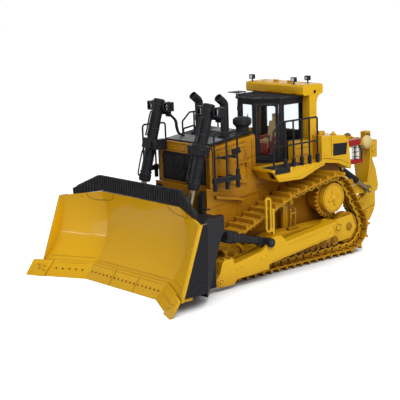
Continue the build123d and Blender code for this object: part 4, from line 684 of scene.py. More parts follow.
# ---- push arms, braces and lift cylinders ---------------------------------------------------
class BuildPushArms(bpy.types.Operator):
    """Pivot caps, weld beads, bolts and brace fittings of the push arms"""
    bl_idname = "bulldozer.push_arms"
    bl_label = "Push arms"

    def execute(self, context):
        yellow, black = blank(2)

        def draw(side):
            out = Vector((0, side, 0))
            pivot = at(TRUNNION[0], side * ARM_OUT_Y, TRUNNION[1])
            add_ring(yellow, pivot, out, 2.9, 2.1, 0.5, 32)
            add_disc(yellow, pivot, out, 1.7, 0.9, 0.3, 28)
            add_disc(yellow, pivot + out * mm(0.9), out, 0.7, 0.35, 0.15, 18)
            bolt_ring(yellow, pivot + out * mm(0.8), out, 1.28, turns(6))
            for bead in (((-18, 20.9), (-6, 18.6), (6, 17.0), (14, 16.2)),
                         ((-16, 15.2), (0, 12.8), (14, 10.9), (26, 9.4))):
                trace(yellow, "push_arms", from_side(bead, side), 0.2, 6)
            stud(yellow, "push_arms", from_side(((-19.6, 20.6), (-17.4, 17.4), (30.0, 13.2), (33.5, 12.2),
                                                 (47, 10.4), (50.4, 9.6)), side), 0.36)
            lug = at(61.5, side * ARM_OUT_Y, 5.0)
            add_ring(yellow, lug, out, 2.3, 1.3, 0.55, 28)
            add_disc(yellow, lug, out, 1.05, 0.8, 0.2, 20)
            for x in (53.6, 57.6):
                side_block(yellow, side, (x, 37.6, 15.6), (x + 0.8, 42.8, 16.6))
            start, end = at(61.2, side * 44.5, 29.0), at(27.4, side * 40.2, 19.6)
            for share, radius in ((0.10, 3.25), (0.19, 3.25), (0.30, 2.45), (0.62, 2.35), (0.80, 2.4)):
                place = frame_to(start.lerp(end, share), end - start)
                add_turned(black, place, ((radius - 0.8, -0.6), (radius, -0.35), (radius, 0.35),
                                          (radius - 0.8, 0.6)), 24)
            eye = at(27.4, side * 44.8, 19.6)
            add_disc(black, eye, out, 1.9, 0.5, 0.3, 24)
            add_bolt(black, eye + out * mm(0.5), out, 0.6)
            side_block(black, side, (44.6, 41.2, 26.2), (48.6, 43.0, 27.4), 0.3)
            stud(black, "tilt_braces", from_above([(x, 43.4) for x in (50.2, 52.2, 54.2)], side), 0.4)

        both_sides(draw)
        keep_all("blade", (yellow, "arm_fittings", "yellow", "yellow"), (black, "brace_fittings", "black", "black"))
        return {"FINISHED"}


def lift_axis(side):
    """Trunnion of a lift cylinder in metres, and the way down its axis."""
    top, foot = at(LIFT_TOP[0], side * LIFT_Y, LIFT_TOP[1]), at(LIFT_PIN[0], side * LIFT_Y, LIFT_PIN[1])
    return top, (foot - top).normalized()


class BuildLiftCylinders(bpy.types.Operator):
    """Heads, bands, caps and pipes of the blade's lift cylinders"""
    bl_idname = "bulldozer.lift_cylinders"
    bl_label = "Lift cylinders"

    def barrel(self, side):
        shape = bmesh.new()
        top, down = lift_axis(side)
        for distance, radius, half in ((-20.6, 3.2, 0.45), (-8.0, 3.05, 0.3), (8.5, 3.05, 0.3), (15.4, 3.3, 0.35)):
            add_turned(shape, frame_to(top + down * mm(distance), down),
                       ((2.7, -half - 0.15), (radius, -half), (radius, half), (2.7, half + 0.15)), 28)
        add_turned(shape, frame_to(top + down * mm(19.6), down),
                   ((3.2, -0.4), (3.05, 0.5), (2.3, 0.9), (1.75, 0.9)), 28)
        add_turned(shape, frame_to(top - down * mm(23.6), -down),
                   ((3.1, -0.4), (3.0, 0.35), (2.4, 0.6), (0.9, 0.7), (0.01, 0.7)), 28)
        out = Vector((0, side, 0))
        cap = at(LIFT_TOP[0], side * (LIFT_Y + 3.5), LIFT_TOP[1])
        add_ring(shape, cap, out, 2.6, 1.9, 0.45, 28)
        add_disc(shape, cap, out, 1.6, 0.6, 0.2, 24)
        bolt_ring(shape, cap + out * mm(0.35), out, 2.25, turns(6, math.pi / 6), 0.24)
        front = down.cross(Vector((0, -1, 0))).normalized()
        for across in (-2.4, 2.4):
            for along in (-1.9, 1.9):
                spot = top + front * mm(3.4) + Vector((0, mm(across), 0)) + down * mm(along)
                add_bolt(shape, spot, front, 0.34)

        def route(stations, shift):
            """Points behind the barrel from lengths along it and distances off its axis."""
            return [top + down * mm(along) - front * mm(behind) + Vector((0, mm(shift), 0))
                    for along, behind in stations]

        for shift in (-0.75, 0.75):
            head = route(((-17, 2.9), (-15, 4.0), (-6, 4.1), (-3.6, 4.3)), shift)
            head[0] += out * mm(0.6)
            add_pipe(shape, head, 0.42, 8)
            add_pipe(shape, route(((4.0, 2.9), (5.2, 3.9), (16.5, 3.9), (17.8, 2.6)), 2 * shift), 0.42, 8)
        name, letter = of_side(side)
        keep(shape, f"lift_barrel_fittings_{name}", f"lift_barrel_{letter}", "black")

    def rod(self, side):
        shape = bmesh.new()
        foot = at(LIFT_PIN[0], side * LIFT_Y, LIFT_PIN[1])
        _, down = lift_axis(side)
        add_turned(shape, frame_to(foot - down * mm(3.4), down),
                   ((1.4, -0.7), (1.9, -0.5), (1.9, 0.6), (1.4, 1.4)), 24)
        name, letter = of_side(side)
        keep(shape, f"lift_rod_collar_{name}", f"lift_rod_{letter}", "black")

    def execute(self, context):
        both_sides(self.barrel)
        both_sides(self.rod)
        return {"FINISHED"}


class BuildCylinderLamps(bpy.types.Operator):
    """Reflectors, lenses and rims of the lamps at the lift cylinders' heads"""
    bl_idname = "bulldozer.cylinder_lamps"
    bl_label = "Cylinder lamps"

    def execute(self, context):
        def draw(side):
            painted_reflections, clear, rims = blank(3)
            for y in (13.9, 27.3):
                low, high = sorted((side * (y - 1.55), side * (y + 1.55)))
                # The reflectors are flat white, a painted reflection of the bright light a lamp's mirror shows.
                add_block(painted_reflections, (45.45, low, 86.35), (45.75, high, 89.65), 0.1)
                add_block(clear, (47.0, low, 86.35), (47.3, high, 89.65), 0.1)
                for z in (86.0, 89.75):
                    add_block(rims, (47.3, low - 0.3, z), (47.9, high + 0.3, z + 0.3), 0.08)
                for edge in (low - 0.4, high + 0.1):
                    add_block(rims, (47.3, edge, 86.0), (47.9, edge + 0.3, 90.05), 0.08)
                add_bolt(rims, at(45.4, side * y, 90.4), (0, 0, 1), 0.4)
            name, letter = of_side(side)
            keep_all(f"lift_barrel_{letter}", (painted_reflections, f"cylinder_lamp_painted_reflections_{name}", "white", "white"),
                     (clear, f"cylinder_lamp_lenses_{name}", "glass", "lens"),
                     (rims, f"cylinder_lamp_rims_{name}", "black", "black"))

        both_sides(draw)
        return {"FINISHED"}


# ---- tracks and undercarriage ---------------------------------------------------------------
def loop_spans():
    """Arcs and straight runs of a track's pin line, each with its length."""
    leave = []
    for here, after in zip(WHEELS, WHEELS[1:] + WHEELS[:1]):
        across, rise = after[0] - here[0], after[1] - here[1]
        leave.append(math.atan2(rise, across) - math.acos((here[2] - after[2]) / math.hypot(across, rise)))
    spans = []
    for index, (x, z, radius) in enumerate(WHEELS):
        start, end = leave[index - 1], leave[index]
        while end < start:
            end += 2 * math.pi
        spans.append(("arc", x, z, radius, start, radius * (end - start)))
        nx, nz = math.cos(end), math.sin(end)
        after = WHEELS[(index + 1) % len(WHEELS)]
        first = (x + radius * nx, z + radius * nz)
        last = (after[0] + after[2] * nx, after[1] + after[2] * nz)
        spans.append(("run", first, last, math.dist(first, last)))
    return spans


LOOP = loop_spans()
LOOP_LENGTH = sum(span[-1] for span in LOOP)
PITCH = LOOP_LENGTH / SHOE_COUNT


def loop_point(along):
    """X and Z on the pin line, at a length along it."""
    along %= LOOP_LENGTH
    for span in LOOP:
        if along <= span[-1]:
            break
        along -= span[-1]
    if span[0] == "arc":
        _, x, z, radius, start, _ = span
        angle = start + along / radius
        return Vector((x + radius * math.cos(angle), 0, z + radius * math.sin(angle)))
    _, first, last, length = span
    return Vector((first[0], 0, first[1])).lerp(Vector((last[0], 0, last[1])), along / length)


def link_place(index, share, reach, side):
    """Matrix on a chord of the pin line: X along it, Y outward, Z across the machine."""
    start = loop_point((index + SHOE_PHASE + share) * PITCH)
    end = loop_point((index + SHOE_PHASE + share + reach) * PITCH)
    middle = (start + end) / 2
    run = (end - start).normalized()
    out = Vector((run.z, 0, -run.x))
    turn = Matrix((run, out, run.cross(out))).transposed().to_4x4()
    return Matrix.Translation(at(middle.x, side * TRACK_Y, middle.z)) @ turn


def arc_points(x, y, radius, start, end, steps):
    """Points of an arc between two angles in degrees."""
    angles = [math.radians(start + (end - start) * step / steps) for step in range(steps + 1)]
    return [(x + radius * math.cos(angle), y + radius * math.sin(angle)) for angle in angles]


class BuildChain(bpy.types.Operator):
    """Link plates, pins, shoe bolts and shoe lips of both tracks, with painted shade behind the links and in their
    holes
    """
    bl_idname = "bulldozer.chain"
    bl_label = "Track chain"

    def execute(self, context):
        half = PITCH / 2
        outline = arc_points(half - 1.5, -0.1, 0.85, -80, 80, 6) + arc_points(-half + 0.1, -0.1, 1.7, 50, 310, 11)
        # The shadow outline is a dark plate of painted shadow in the gaps between link plates.
        shadow = ((-half, -1.72), (half, -1.72), (half, 1.42), (-half, 1.42))
        lip = ((-0.42 * PITCH, 1.45), (-0.30 * PITCH, 1.3), (-0.33 * PITCH, 0.55), (-0.40 * PITCH, 0.35),
               (-0.44 * PITCH, 0.6))

        def link(links, painted_shade_pieces, place, face, lift, nuts):
            """One link plate, a dark plate of painted shadow behind it, its pin's end with a disc of painted shade for
            its hole, and dark discs of painted shade at its nuts.
            """
            out, edge = Vector((0, face, 0)), face * CHAIN_HALF
            for shape, profile, height in ((painted_shade_pieces, shadow, 0.12), (links, outline, lift)):
                low, high = sorted((edge - face * 0.1, edge + face * height))
                add_plate(shape, profile, low, high, 0, place)
            pin = place @ Vector((mm(-half + 0.1), mm(-0.1), mm(edge + face * lift)))
            add_ring(links, pin, out, 1.35, 0.85, 0.25, 16)
            add_hole_shade(painted_shade_pieces, pin + out * mm(0.03), out, 0.9, 14)
            for along in nuts:
                add_hole_shade(painted_shade_pieces, place @ Vector((mm(along), mm(0.25), mm(edge + face * (lift + 0.01)))), out, 0.24, 8)

        def draw(side):
            links, painted_shade_pieces, shoes = blank(3)
            for index in range(SHOE_COUNT):
                place = link_place(index, 0.02, 1.0, side)
                for face in (1, -1):
                    link(links, painted_shade_pieces, place, face, 0.75 + 0.3 * (index % 2), (-0.55, 0.75) if face == side else ())
                plate = link_place(index, 0.04, 0.62, side)
                out = plate.to_3x3() @ Vector((0, 1, 0))
                for along in (-0.22 * PITCH, 0.14 * PITCH):
                    for across in (-1.75, 1.75):
                        spot = plate @ Vector((mm(along), mm(PLATE_OUT - 0.02), mm(across)))
                        add_bolt(shoes, spot, out, 0.42, 0.34)
                add_plate(shoes, lip, -SHOE_WIDTH / 2, SHOE_WIDTH / 2, 0, place)
            name, _ = of_side(side)
            keep_all("chassis", (links, f"track_links_{name}", "yellow", "yellow"),
                     (painted_shade_pieces, f"track_link_painted_shade_{name}", "yellow", "brown_joints_and_painted_shade"),
                     (shoes, f"track_shoe_fittings_{name}", "yellow", "ochre"))

        both_sides(draw)
        return {"FINISHED"}


class BuildDrives(bpy.types.Operator):
    """Covers, rim bolts and lobed hubs of the drive wheels"""
    bl_idname = "bulldozer.drives"
    bl_label = "Drive wheels"

    def execute(self, context):
        x, z, _ = WHEELS[2]
        shape = bmesh.new()
        spoke = ((0.8, -1.1), (2.0, -0.62), (3.6, -0.55), (3.6, 0.55), (2.0, 0.62), (0.8, 1.1))

        def draw(side):
            out = Vector((0, side, 0))
            centre = at(x, side * HUB_FACE_Y, z)
            add_ring(shape, centre, out, 8.15, 7.75, 0.22, 56)
            add_ring(shape, centre, out, 6.95, 6.7, 0.14, 56)
            add_disc(shape, centre, out, 1.75, 0.75, 0.3, 28)
            add_disc(shape, centre + out * mm(0.75), out, 0.95, 0.4, 0.2, 22)
            for spot in around(centre + out * mm(0.1), 7.3, turns(36)):
                add_cone(shape, frame_to(spot, out), 0.3, 0.24, 0.3, 8)
            for angle in turns(4, math.radians(74)):
                way = Vector((math.cos(angle), 0, math.sin(angle)))
                lobe = centre + way * mm(3.75)
                add_disc(shape, lobe, out, 0.98, 0.5, 0.25, 22)
                add_bolt(shape, lobe + out * mm(0.45), out, 0.4, 0.22)
                add_plate(shape, spoke, -0.1, 0.42, 0.12, frame_to(centre, out, way))
            for y, radius in ((30.4, 8.45), (31.6, 8.4)):
                add_turned(shape, frame_to(at(x, side * y, z), out),
                           ((7.9, -0.2), (radius, -0.1), (radius, 0.25), (7.9, 0.35)), 48)

        both_sides(draw)
        keep(shape, "final_drive_covers", "chassis", "yellow")
        return {"FINISHED"}


class BuildFrames(bpy.types.Operator):
    """Roller caps, guards, idler caps, stanchions and bosses of the track frames"""
    bl_idname = "bulldozer.frames"
    bl_label = "Track frames"

    def execute(self, context):
        shape, painted_shade_pieces = blank(2)

        def draw(side):
            out = Vector((0, side, 0))
            for index, x in enumerate(ROLLER_XS):
                cap = at(x, side * FRAME_OUT_Y, ROLLER_Z)
                add_disc(shape, cap, out, 2.75, 0.7, 0.3, 28)
                add_ring(shape, cap + out * mm(0.7), out, 1.9, 1.45, 0.2, 28)
                add_disc(shape, cap + out * mm(0.7), out, 0.85, 0.35, 0.15, 18)
                bolt_ring(shape, cap + out * mm(0.6), out, 2.3, (0.6, 2.5, 3.8, 5.6), 0.24)
                if index < len(ROLLER_XS) - 1:
                    middle = x + 4.3
                    side_block(shape, side, (middle - 1.2, FRAME_OUT_Y - 0.2, 6.4),
                               (middle + 1.2, FRAME_OUT_Y + 0.5, 8.6), 0.2)
                    for shift in (-0.7, 0.7):
                        add_bolt(shape, at(middle + shift, side * (FRAME_OUT_Y + 0.45), 7.3), out, 0.28, 0.22)
            for x, z in ((WHEELS[0][0], WHEELS[0][1] - 2.4), (WHEELS[3][0], WHEELS[3][1] + 0.6)):
                hub = at(x, side * FRAME_OUT_Y, z)
                add_disc(shape, hub, out, 2.3, 0.5, 0.25, 28)
                add_ring(shape, hub + out * mm(0.5), out, 1.3, 0.9, 0.25, 24)
                bolt_ring(shape, hub + out * mm(0.42), out, 1.85, [1.047 * index for index in range(6)])
            side_block(shape, side, (-3.6, FRAME_OUT_Y - 2.6, 20.3), (3.4, FRAME_OUT_Y - 0.2, 22.0), 0.25)
            for x in (-2.0, 1.4):
                for low, high, radius in ((21.6, 31.2, 0.42), (26.8, 28.0, 0.75)):
                    add_rod(shape, at(x, side * 31.8, low), at(x, side * 31.8, high), radius, 12)
                add_bolt(shape, at(x, side * 31.8, 31.0), (0, 0, 1), 0.55, 0.7)
            side_block(shape, side, (-2.6, 31.2, 28.6), (2.0, 32.4, 29.8), 0.2)
            boss = at(-9.2, side * FRAME_OUT_Y, 17.9)
            add_disc(shape, boss, out, 2.0, 0.5, 0.2, 28)
            add_ring(shape, boss + out * mm(0.5), out, 1.5, 1.1, 0.3, 24)
            # A disc of painted shade stands for the boss's hole.
            add_hole_shade(painted_shade_pieces, boss + out * mm(0.52), out, 0.8)
            for x, z in ((4.0, 15.6), (8.4, 14.8), (12.8, 14.0)):
                add_block(shape, (-2.2, -0.22, -0.2), (2.2, 0.22, 0.45), 0.1,
                          frame_to(at(x, side * FRAME_OUT_Y, z), out, (0.45, 0, 1)))
            solid = f"track_frame_{of_side(side)[0]}"
            stud(shape, solid, from_above([(x, 30.6) for x in (-29.0, -26.0, 21.0, 26.0, 30.0)], side), 0.42)
            trace(shape, solid, from_side(((33.0, 13.6), (18.0, 18.6), (-18, 19.4), (-30, 19.4)), side), 0.16, 6)

        both_sides(draw)
        # The frame fittings take the yellow darkened as painted shade.
        keep_all("chassis", (shape, "track_frame_fittings", "yellow", "shaded_yellow"),
                 (painted_shade_pieces, "track_frame_hole_shade", "yellow", "brown_joints_and_painted_shade"))
        return {"FINISHED"}


# ---- hood and radiator ----------------------------------------------------------------------
class BuildHoodSides(bpy.types.Operator):
    """Door seams, bosses, latches and blank plates of the engine's side doors"""
    bl_idname = "bulldozer.hood_sides"
    bl_label = "Hood sides"

    def execute(self, context):
        shape, seams, plates = blank(3)
        doors = "hood_doors"

        def draw(side):
            for points, radius in ((((36.6, 50.2), (36.6, 56), (36.6, 62), (36.6, 67.4)), 0.13),
                                   (((24.6, 50.4), (24.6, 58.8)), 0.13), (((24.6, 61.2), (24.6, 68.6)), 0.13),
                                   (((25.6, 51.0), (43.8, 51.9), (43.8, 65.6), (25.6, 67.6), (25.6, 60.6)), 0.1),
                                   (((18.6, 50.0), (18.6, 58.0), (18.6, 70.0)), 0.13),
                                   (((16.6, 61.4), (22.2, 61.0)), 0.13)):
                trace(seams, doors, from_side(points, side), radius)
            for point, normal in met(doors, from_side(((27.0, 66.0), (27.0, 50.6), (42.2, 52.8), (42.2, 64.8)), side)):
                add_disc(shape, point, normal, 0.9, 0.4, 0.2, 20)
                add_bolt(shape, point + normal * mm(0.35), normal, 0.34, 0.25)
            add_pads(shape, doors, from_side(((37.4, 58.0), (23.8, 64.0), (20.4, 56.0)), side),
                     (-0.9, -0.35, -0.1), (0.9, 0.35, 0.5))
            low, high = sorted((side * 21.3, side * 23.6))
            for x in (24.0, 30.0):
                add_plate(shape, ((x, 59.4), (x + 0.5, 59.4), (x + 0.5, 58.0), (x, 56.6)), low, high, 0.08)
            stud(shape, doors, from_side([(x, z) for x in (17.6, 20.2, 22.0) for z in (52.4, 66.6)], side), 0.3, 0.22)
            add_pads(plates, doors, from_side(((31.2, 66.0),), side), (-3.0, -1.55, -0.1), (3.0, 1.55, 0.3), 0.2,
                     (-1, 0, 0.09))

        both_sides(draw)
        # The hood side fittings take the yellow darkened as painted shade.
        keep_all("chassis", (shape, "hood_side_fittings", "yellow", "shaded_yellow"),
                 (seams, "hood_side_seams", "yellow", "brown_joints_and_painted_shade"), (plates, "hood_side_plates", "black", "black"))
        return {"FINISHED"}


class BuildHoodDeck(bpy.types.Operator):
    """Perforated panels, stack collars and intake bands on the hood"""
    bl_idname = "bulldozer.hood_deck"
    bl_label = "Hood deck"

    def execute(self, context):
        panels, holes, black, bores = blank(4)

        def deck(points):
            return met("hood_deck", from_above(points))

        def panel(low_x, high_x, low_y, high_y):
            (point, normal), = deck([((low_x + high_x) / 2, (low_y + high_y) / 2)])
            half_x, half_y = (high_x - low_x) / 2, (high_y - low_y) / 2
            place = frame_to(point, normal, (1, 0, 0))
            add_block(panels, (-half_x, -half_y, -0.05), (half_x, half_y, 0.22), 0.15, place)
            columns, rows = int(half_x * 2 / 1.05), int(half_y * 2 / 1.05)
            for column in range(columns):
                for row in range(rows):
                    shift = 0.26 if row % 2 else -0.26
                    spot = place @ Vector((mm((column - (columns - 1) / 2) * 1.0 + shift),
                                           mm((row - (rows - 1) / 2) * 1.0), mm(0.235)))
                    # Each perforation is a small disc of painted shade on the panel.
                    add_hole_shade(holes, spot, normal, 0.3, 6)

        for edges in ((34.6, 44.6, -17.4, -6.4), (34.6, 44.6, -5.6, 5.6), (34.6, 44.6, 6.4, 17.4),
                      (17.0, 23.4, -7.0, 7.0)):
            panel(*edges)
        strips = [[(x, y) for x in (17, 30, 44.8)] for y in (-17.9, -6.0, 6.0, 17.9)]
        strips += [[(x, y) for y in (-18.2, 0, 18.2)] for x in (34.0, 24.2)]
        for strip in strips:
            trace(black, "hood_deck", from_above(strip), 0.28, 6, 0.0)

        def draw(side):
            y, sky = side * 11.0, Vector((0, 0, 1))
            (point, _), (foot, _) = deck(((29.1, y), (20.0, side * 16.4)))
            add_ring(black, point, sky, 3.1, 2.0, 0.7, 28)
            bolt_ring(black, point + up(0.5), sky, 2.7, turns(6), 0.26, flat=True)
            for mouth, normal in met("exhaust_stacks", [((41.0, y, 95.7), (-1, 0, -0.35))]):
                # A disc of painted shade stands for the stack's bore.
                add_hole_shade(bores, mouth + normal * mm(0.03), normal, 0.9, 24)
            bowl = frame_to(foot, sky)
            add_turned(black, bowl, ((2.6, -0.1), (4.0, 0), (4.0, 0.5), (2.6, 0.9)), 28)
            for height, radius in ((4.9, 4.55), (5.9, 4.6), (6.9, 4.5)):
                add_turned(black, bowl, ((radius - 0.5, height - 0.2), (radius, height - 0.1),
                                         (radius, height + 0.15), (radius - 0.5, height + 0.25)), 36)
            for angle in turns(16):
                way = Vector((math.cos(angle), math.sin(angle), 0))
                start = foot + way * mm(1.2) + up(8.15)
                add_line(black, [start, start + way * mm(2.2) - up(0.25)], 0.16)
            add_disc(black, foot + up(8.1), sky, 0.8, 0.4, 0.15, 16)

        both_sides(draw)
        keep_all("chassis", (panels, "hood_deck_panels", "black", "mesh"), (holes, "hood_deck_hole_shade", "black", "black_joints_and_painted_shade"),
                 (black, "hood_deck_fittings", "black", "black"), (bores, "exhaust_bore_shade", "black", "black_joints_and_painted_shade"))
        return {"FINISHED"}


class BuildRadiator(bpy.types.Operator):
    """Door seams, latches, hinges and blank badge of the radiator guard"""
    bl_idname = "bulldozer.radiator"
    bl_label = "Radiator"

    def execute(self, context):
        lines, black, yellow, seams = blank(4)
        grille, guard = "radiator_grille", "radiator_guard"
        for y in (-16.8, -9.0, 0.0, 9.0, 16.8):
            trace(lines, grille, from_front([(y, z) for z in (50.2, 57.0, 63.6)]), 0.2 if y == 0 else 0.13)
        for z in (50.4, 56.8, 63.4):
            trace(lines, grille, from_front([(y, z) for y in (-16.8, -8.0, 8.0, 16.8)]), 0.13)
        for step in range(34):
            y = -16.2 + 32.4 * step / 33
            if abs(y) > 4.2:
                trace(black, grille, from_front(((y, 51.2), (y, 62.8))), 0.1, lift=0.0)
        add_pads(black, grille, from_front([(y, z) for y in (-16.0, 16.0) for z in (52.4, 57.0, 61.6)]),
                 (-1.1, -0.5, -0.1), (1.1, 0.5, 0.45))
        latches = from_front(((-1.6, 57.4), (1.6, 57.4)))
        add_pads(black, grille, latches, (-1.4, -0.4, -0.1), (1.4, 0.4, 0.7))
        for point, normal in met(grille, latches):
            add_bolt(black, point + normal * mm(0.6), normal, 0.3)
        spots = [(y, z) for y in (-20.0, 20.0) for z in (51, 57, 63.4)]
        spots += [(-8.4, 67.6), (8.4, 67.6), (-3.2, 68.6), (3.2, 68.6)]
        stud(yellow, guard, from_front(spots), 0.36, 0.28)
        for point, normal in met(guard, from_front(((0, 67.2),))):
            add_disc(yellow, point, normal, 1.35, 0.35, 0.15, 24)
        for z, half in ((65.7, 16.4), (69.4, 19.0)):
            trace(seams, guard, from_front([(y, z) for y in (-half, 0, half)]), 0.1, lift=0.0)
        # The guard's fittings take the yellow darkened as painted shade.
        keep_all("chassis", (lines, "grille_seams", "black", "black_joints_and_painted_shade"), (black, "grille_fittings", "grille", "grille"),
                 (yellow, "guard_fittings", "yellow", "shaded_yellow"), (seams, "guard_seams", "yellow", "brown_joints_and_painted_shade"))
        return {"FINISHED"}


class BuildHull(bpy.types.Operator):
    """Plate seams, bolts and belly covers of the main case"""
    bl_idname = "bulldozer.hull"
    bl_label = "Hull"

    def execute(self, context):
        yellow, seams = blank(2)
        hull, belly = "hull", "belly_plate"

        def draw(side):
            for points in (((29.2, 21.6), (29.2, 30), (29.2, 38.2)), ((12.8, 21.6), (12.8, 32), (12.8, 42.0)),
                           ((-14.0, 30), (-14.0, 42.0))):
                trace(seams, hull, from_side(points, side), 0.12)
            trace(yellow, hull, from_side(((44.0, 30.0), (29.2, 27.6), (12.8, 25.4)), side), 0.22, 6)
            stud(yellow, hull, from_side([(x, z) for x in (15.4, 20.6, 26.0, 31.8, 37.0, 42.2)
                                          for z in (24.0, 36.4)], side), 0.4, 0.3)
            for point, normal in met(hull, from_side(((5.0, 30.0),), side)):
                add_disc(yellow, point, normal, 2.6, 0.6, 0.25, 28)
                add_ring(yellow, point + normal * mm(0.6), normal, 1.9, 1.4, 0.3, 24)
            stud(yellow, belly, from_below([(x, y) for y in (6.0, 12.0) for x in (-34, -22, -10, 10, 22, 32)], side),
                 0.6, 0.4)
            stud(yellow, hull, from_front([(16, z) for z in (24, 32, 40)], side), 0.5, 0.35)
            stud(yellow, hull, from_rear([(18, z) for z in (34, 46)], side), 0.5, 0.35)

        both_sides(draw)
        for x in (-28.0, -4.0, 20.0):
            trace(seams, belly, from_below([(x, y) for y in (-14.6, 0, 14.6)]), 0.15)
        # The hull fittings take the yellow darkened as painted shade.
        keep_all("chassis", (yellow, "hull_fittings", "yellow", "shaded_yellow"), (seams, "hull_seams", "yellow", "brown_joints_and_painted_shade"))
        return {"FINISHED"}


# ---- cab and roll-over bar ------------------------------------------------------------------
def band(low, high):
    """Corners of an upright rectangle from two corners, closed."""
    (a, c), (b, d) = low, high
    return [(a, c), (b, c), (b, d), (a, d), (a, c)]


class BuildCabShell(bpy.types.Operator):
    """Gaskets, handles, hinges, wipers, roof ribs and visor of the cab"""
    bl_idname = "bulldozer.cab_shell"
    bl_label = "Cab shell"

    def execute(self, context):
        rubber, black = blank(2)

        def draw(side):
            y = side * (CAB_SIDE_Y + 0.02)
            add_line(rubber, [at(x, y, z) for x, z in band((-24.4, 65.6), (-9.2, 85.6))], 0.28, 6)
            add_line(black, [at(x, y, 64.6) for x in (-24.4, -8.8)], 0.22, 6)
            add_line(black, [at(-16.6, y, z) for z in (56.0, 64.6)], 0.14, 4)
            way = Vector((-0.74, -0.67 * side, 0))

            def on_door(spots):
                """Points and directions on a door's face, from a share of its width and a height."""
                points = [Vector((1.6, side * 6.9, z)).lerp(Vector((-6.8, side * 15.4, z)), share)
                          for share, z in spots]
                return met("cab_doors", [(point - way * 20, way) for point in points])

            frame_spots = ((0.04, 57.4), (0.96, 57.4), (0.96, 86.0), (0.04, 86.0), (0.04, 57.4))
            add_line(black, [point + normal * mm(0.05) for point, normal in on_door(frame_spots)], 0.2, 6)
            for point, normal in on_door([(0.12, z) for z in (60.0, 72.0, 83.0)]):
                add_block(black, (-0.9, -0.4, -0.1), (0.9, 0.4, 0.55), 0.15, frame_to(point, normal))
            grip = on_door([(0.92, z) for z in (66.0, 66.3, 74.4, 74.7)])
            add_line(black, [point - way * mm(out) for (point, _), out in zip(grip, (0.1, 0.9, 0.9, 0.1))], 0.22, 8)

        both_sides(draw)
        for x, low, high in ((3.02, (-5.4, 65.8), (5.4, 86.2)), (-24.92, (-13.2, 69.8), (13.2, 85.6))):
            add_line(rubber, [at(x, y, z) for y, z in band(low, high)], 0.28, 6)
        add_line(black, [at(3.3, -4.0, 66.4), at(3.45, 1.6, 77.6)], 0.16, 6)
        add_line(black, [at(3.4, 0.9, 73.2), at(3.45, 2.2, 81.0)], 0.24, 6)
        add_disc(black, at(3.0, -4.0, 66.4), (1, 0, 0), 0.5, 0.6, 0.15, 14)
        for y in (-13.6, -9.2, -4.6, 0.0, 4.6, 9.2, 13.6):
            front = 2.6 if abs(y) < 6 else 2.6 - (abs(y) - 6) * 0.95
            add_block(black, (-17.6, y - 0.45, 89.6), (front, y + 0.45, 90.15), 0.2)
        for x in (-21.6, -17.8):
            add_block(black, (x - 0.35, -16.2, 89.6), (x + 0.35, 16.2, 90.0), 0.15)
        add_block(black, (-7.4, -17.2, 91.0), (0.8, -10.4, 91.5), 0.2)
        for x, y in ((-6.4, -16.2), (-6.4, -11.2), (-0.4, -11.2)):
            add_rod(black, at(x, y, 89.6), at(x, y, 91.4), 0.28, 8)
        for side in (-1, 1):
            for z in (56.6, 58.4):
                for x in (-23.4, -17.0, -10.4):
                    add_bolt(black, at(x, side * CAB_SIDE_Y, z), (0, side, 0), 0.3, 0.22)
        for side in (-1, 1):
            add_block(black, (-24.9, side * 16.6, 54.3), (-8.6, side * 17.35, 55.2), 0.15)
        keep_all("chassis", (rubber, "cab_gaskets", "black", "rubber"), (black, "cab_fittings", "black", "black"))
        return {"FINISHED"}


class BuildCabInside(bpy.types.Operator):
    """Cushions, levers, pedals and dial panel inside the cab"""
    bl_idname = "bulldozer.cab_inside"
    bl_label = "Cab inside"

    def execute(self, context):
        red, tan, black, dial = blank(4)
        add_block(red, (-18.7, -4.4, 56.4), (-8.9, 4.4, 64.1), 0.9)
        add_block(red, (-18.2, 4.5, 64.4), (-9.6, 6.6, 66.8), 0.6)
        add_block(red, (-18.2, -6.6, 64.4), (-9.6, -4.5, 66.8), 0.6)
        add_block(tan, (-18.3, -3.6, 63.9), (-9.4, 3.6, 64.9), 0.45)
        tilt = frame_to(at(-17.2, 0, 67.6), (0.98, 0, 0.2), (0, 1, 0))
        for low, high in ((-3.7, -2.4), (-2.2, 2.2), (2.4, 3.7)):
            add_block(tan, (low, -5.6, -0.9), (high, 6.2, 0.5), 0.4, tilt)
        for y in (-6.6, 6.6):
            add_rod(black, at(-9.8, y, 57.0), at(-7.6, y, 67.4), 0.3, 10)
            add_disc(black, at(-7.6, y, 67.2), (0.2, 0, 1), 0.7, 1.2, 0.5, 16)
            add_block(black, (-12.4, y - 1.1, 55.4), (-8.0, y + 1.1, 58.0), 0.3)
        for y in (-2.4, 0.0, 2.4):
            add_block(black, (-6.2, y - 0.7, 56.0), (-4.0, y + 0.7, 56.4), 0.12)
        place = frame_to(at(-2.7, 0, 65.6), (-0.86, 0, 0.5), (0, 1, 0))
        for x, y in ((-2.6, 0), (0, 0.2), (2.6, 0)):
            add_disc(dial, place @ Vector((mm(x), mm(y), mm(0.3))), (-0.86, 0, 0.5), 0.9, 0.2, 0.05, 18)
        add_block(black, (-3.9, -1.4, -0.3), (3.9, 1.6, 0.32), 0.2, place)
        for y in (-9.2, 9.2):
            add_block(black, (-21.8, y - 2.4, 55.4), (-15.4, y + 2.4, 61.6), 0.4)
        keep_all("chassis", (red, "seat_cover", "red", "maroon"), (tan, "seat_cushions", "seat", "seat"),
                 (black, "cab_controls", "dash", "dash"), (dial, "cab_dials", "white", "white"))
        return {"FINISHED"}


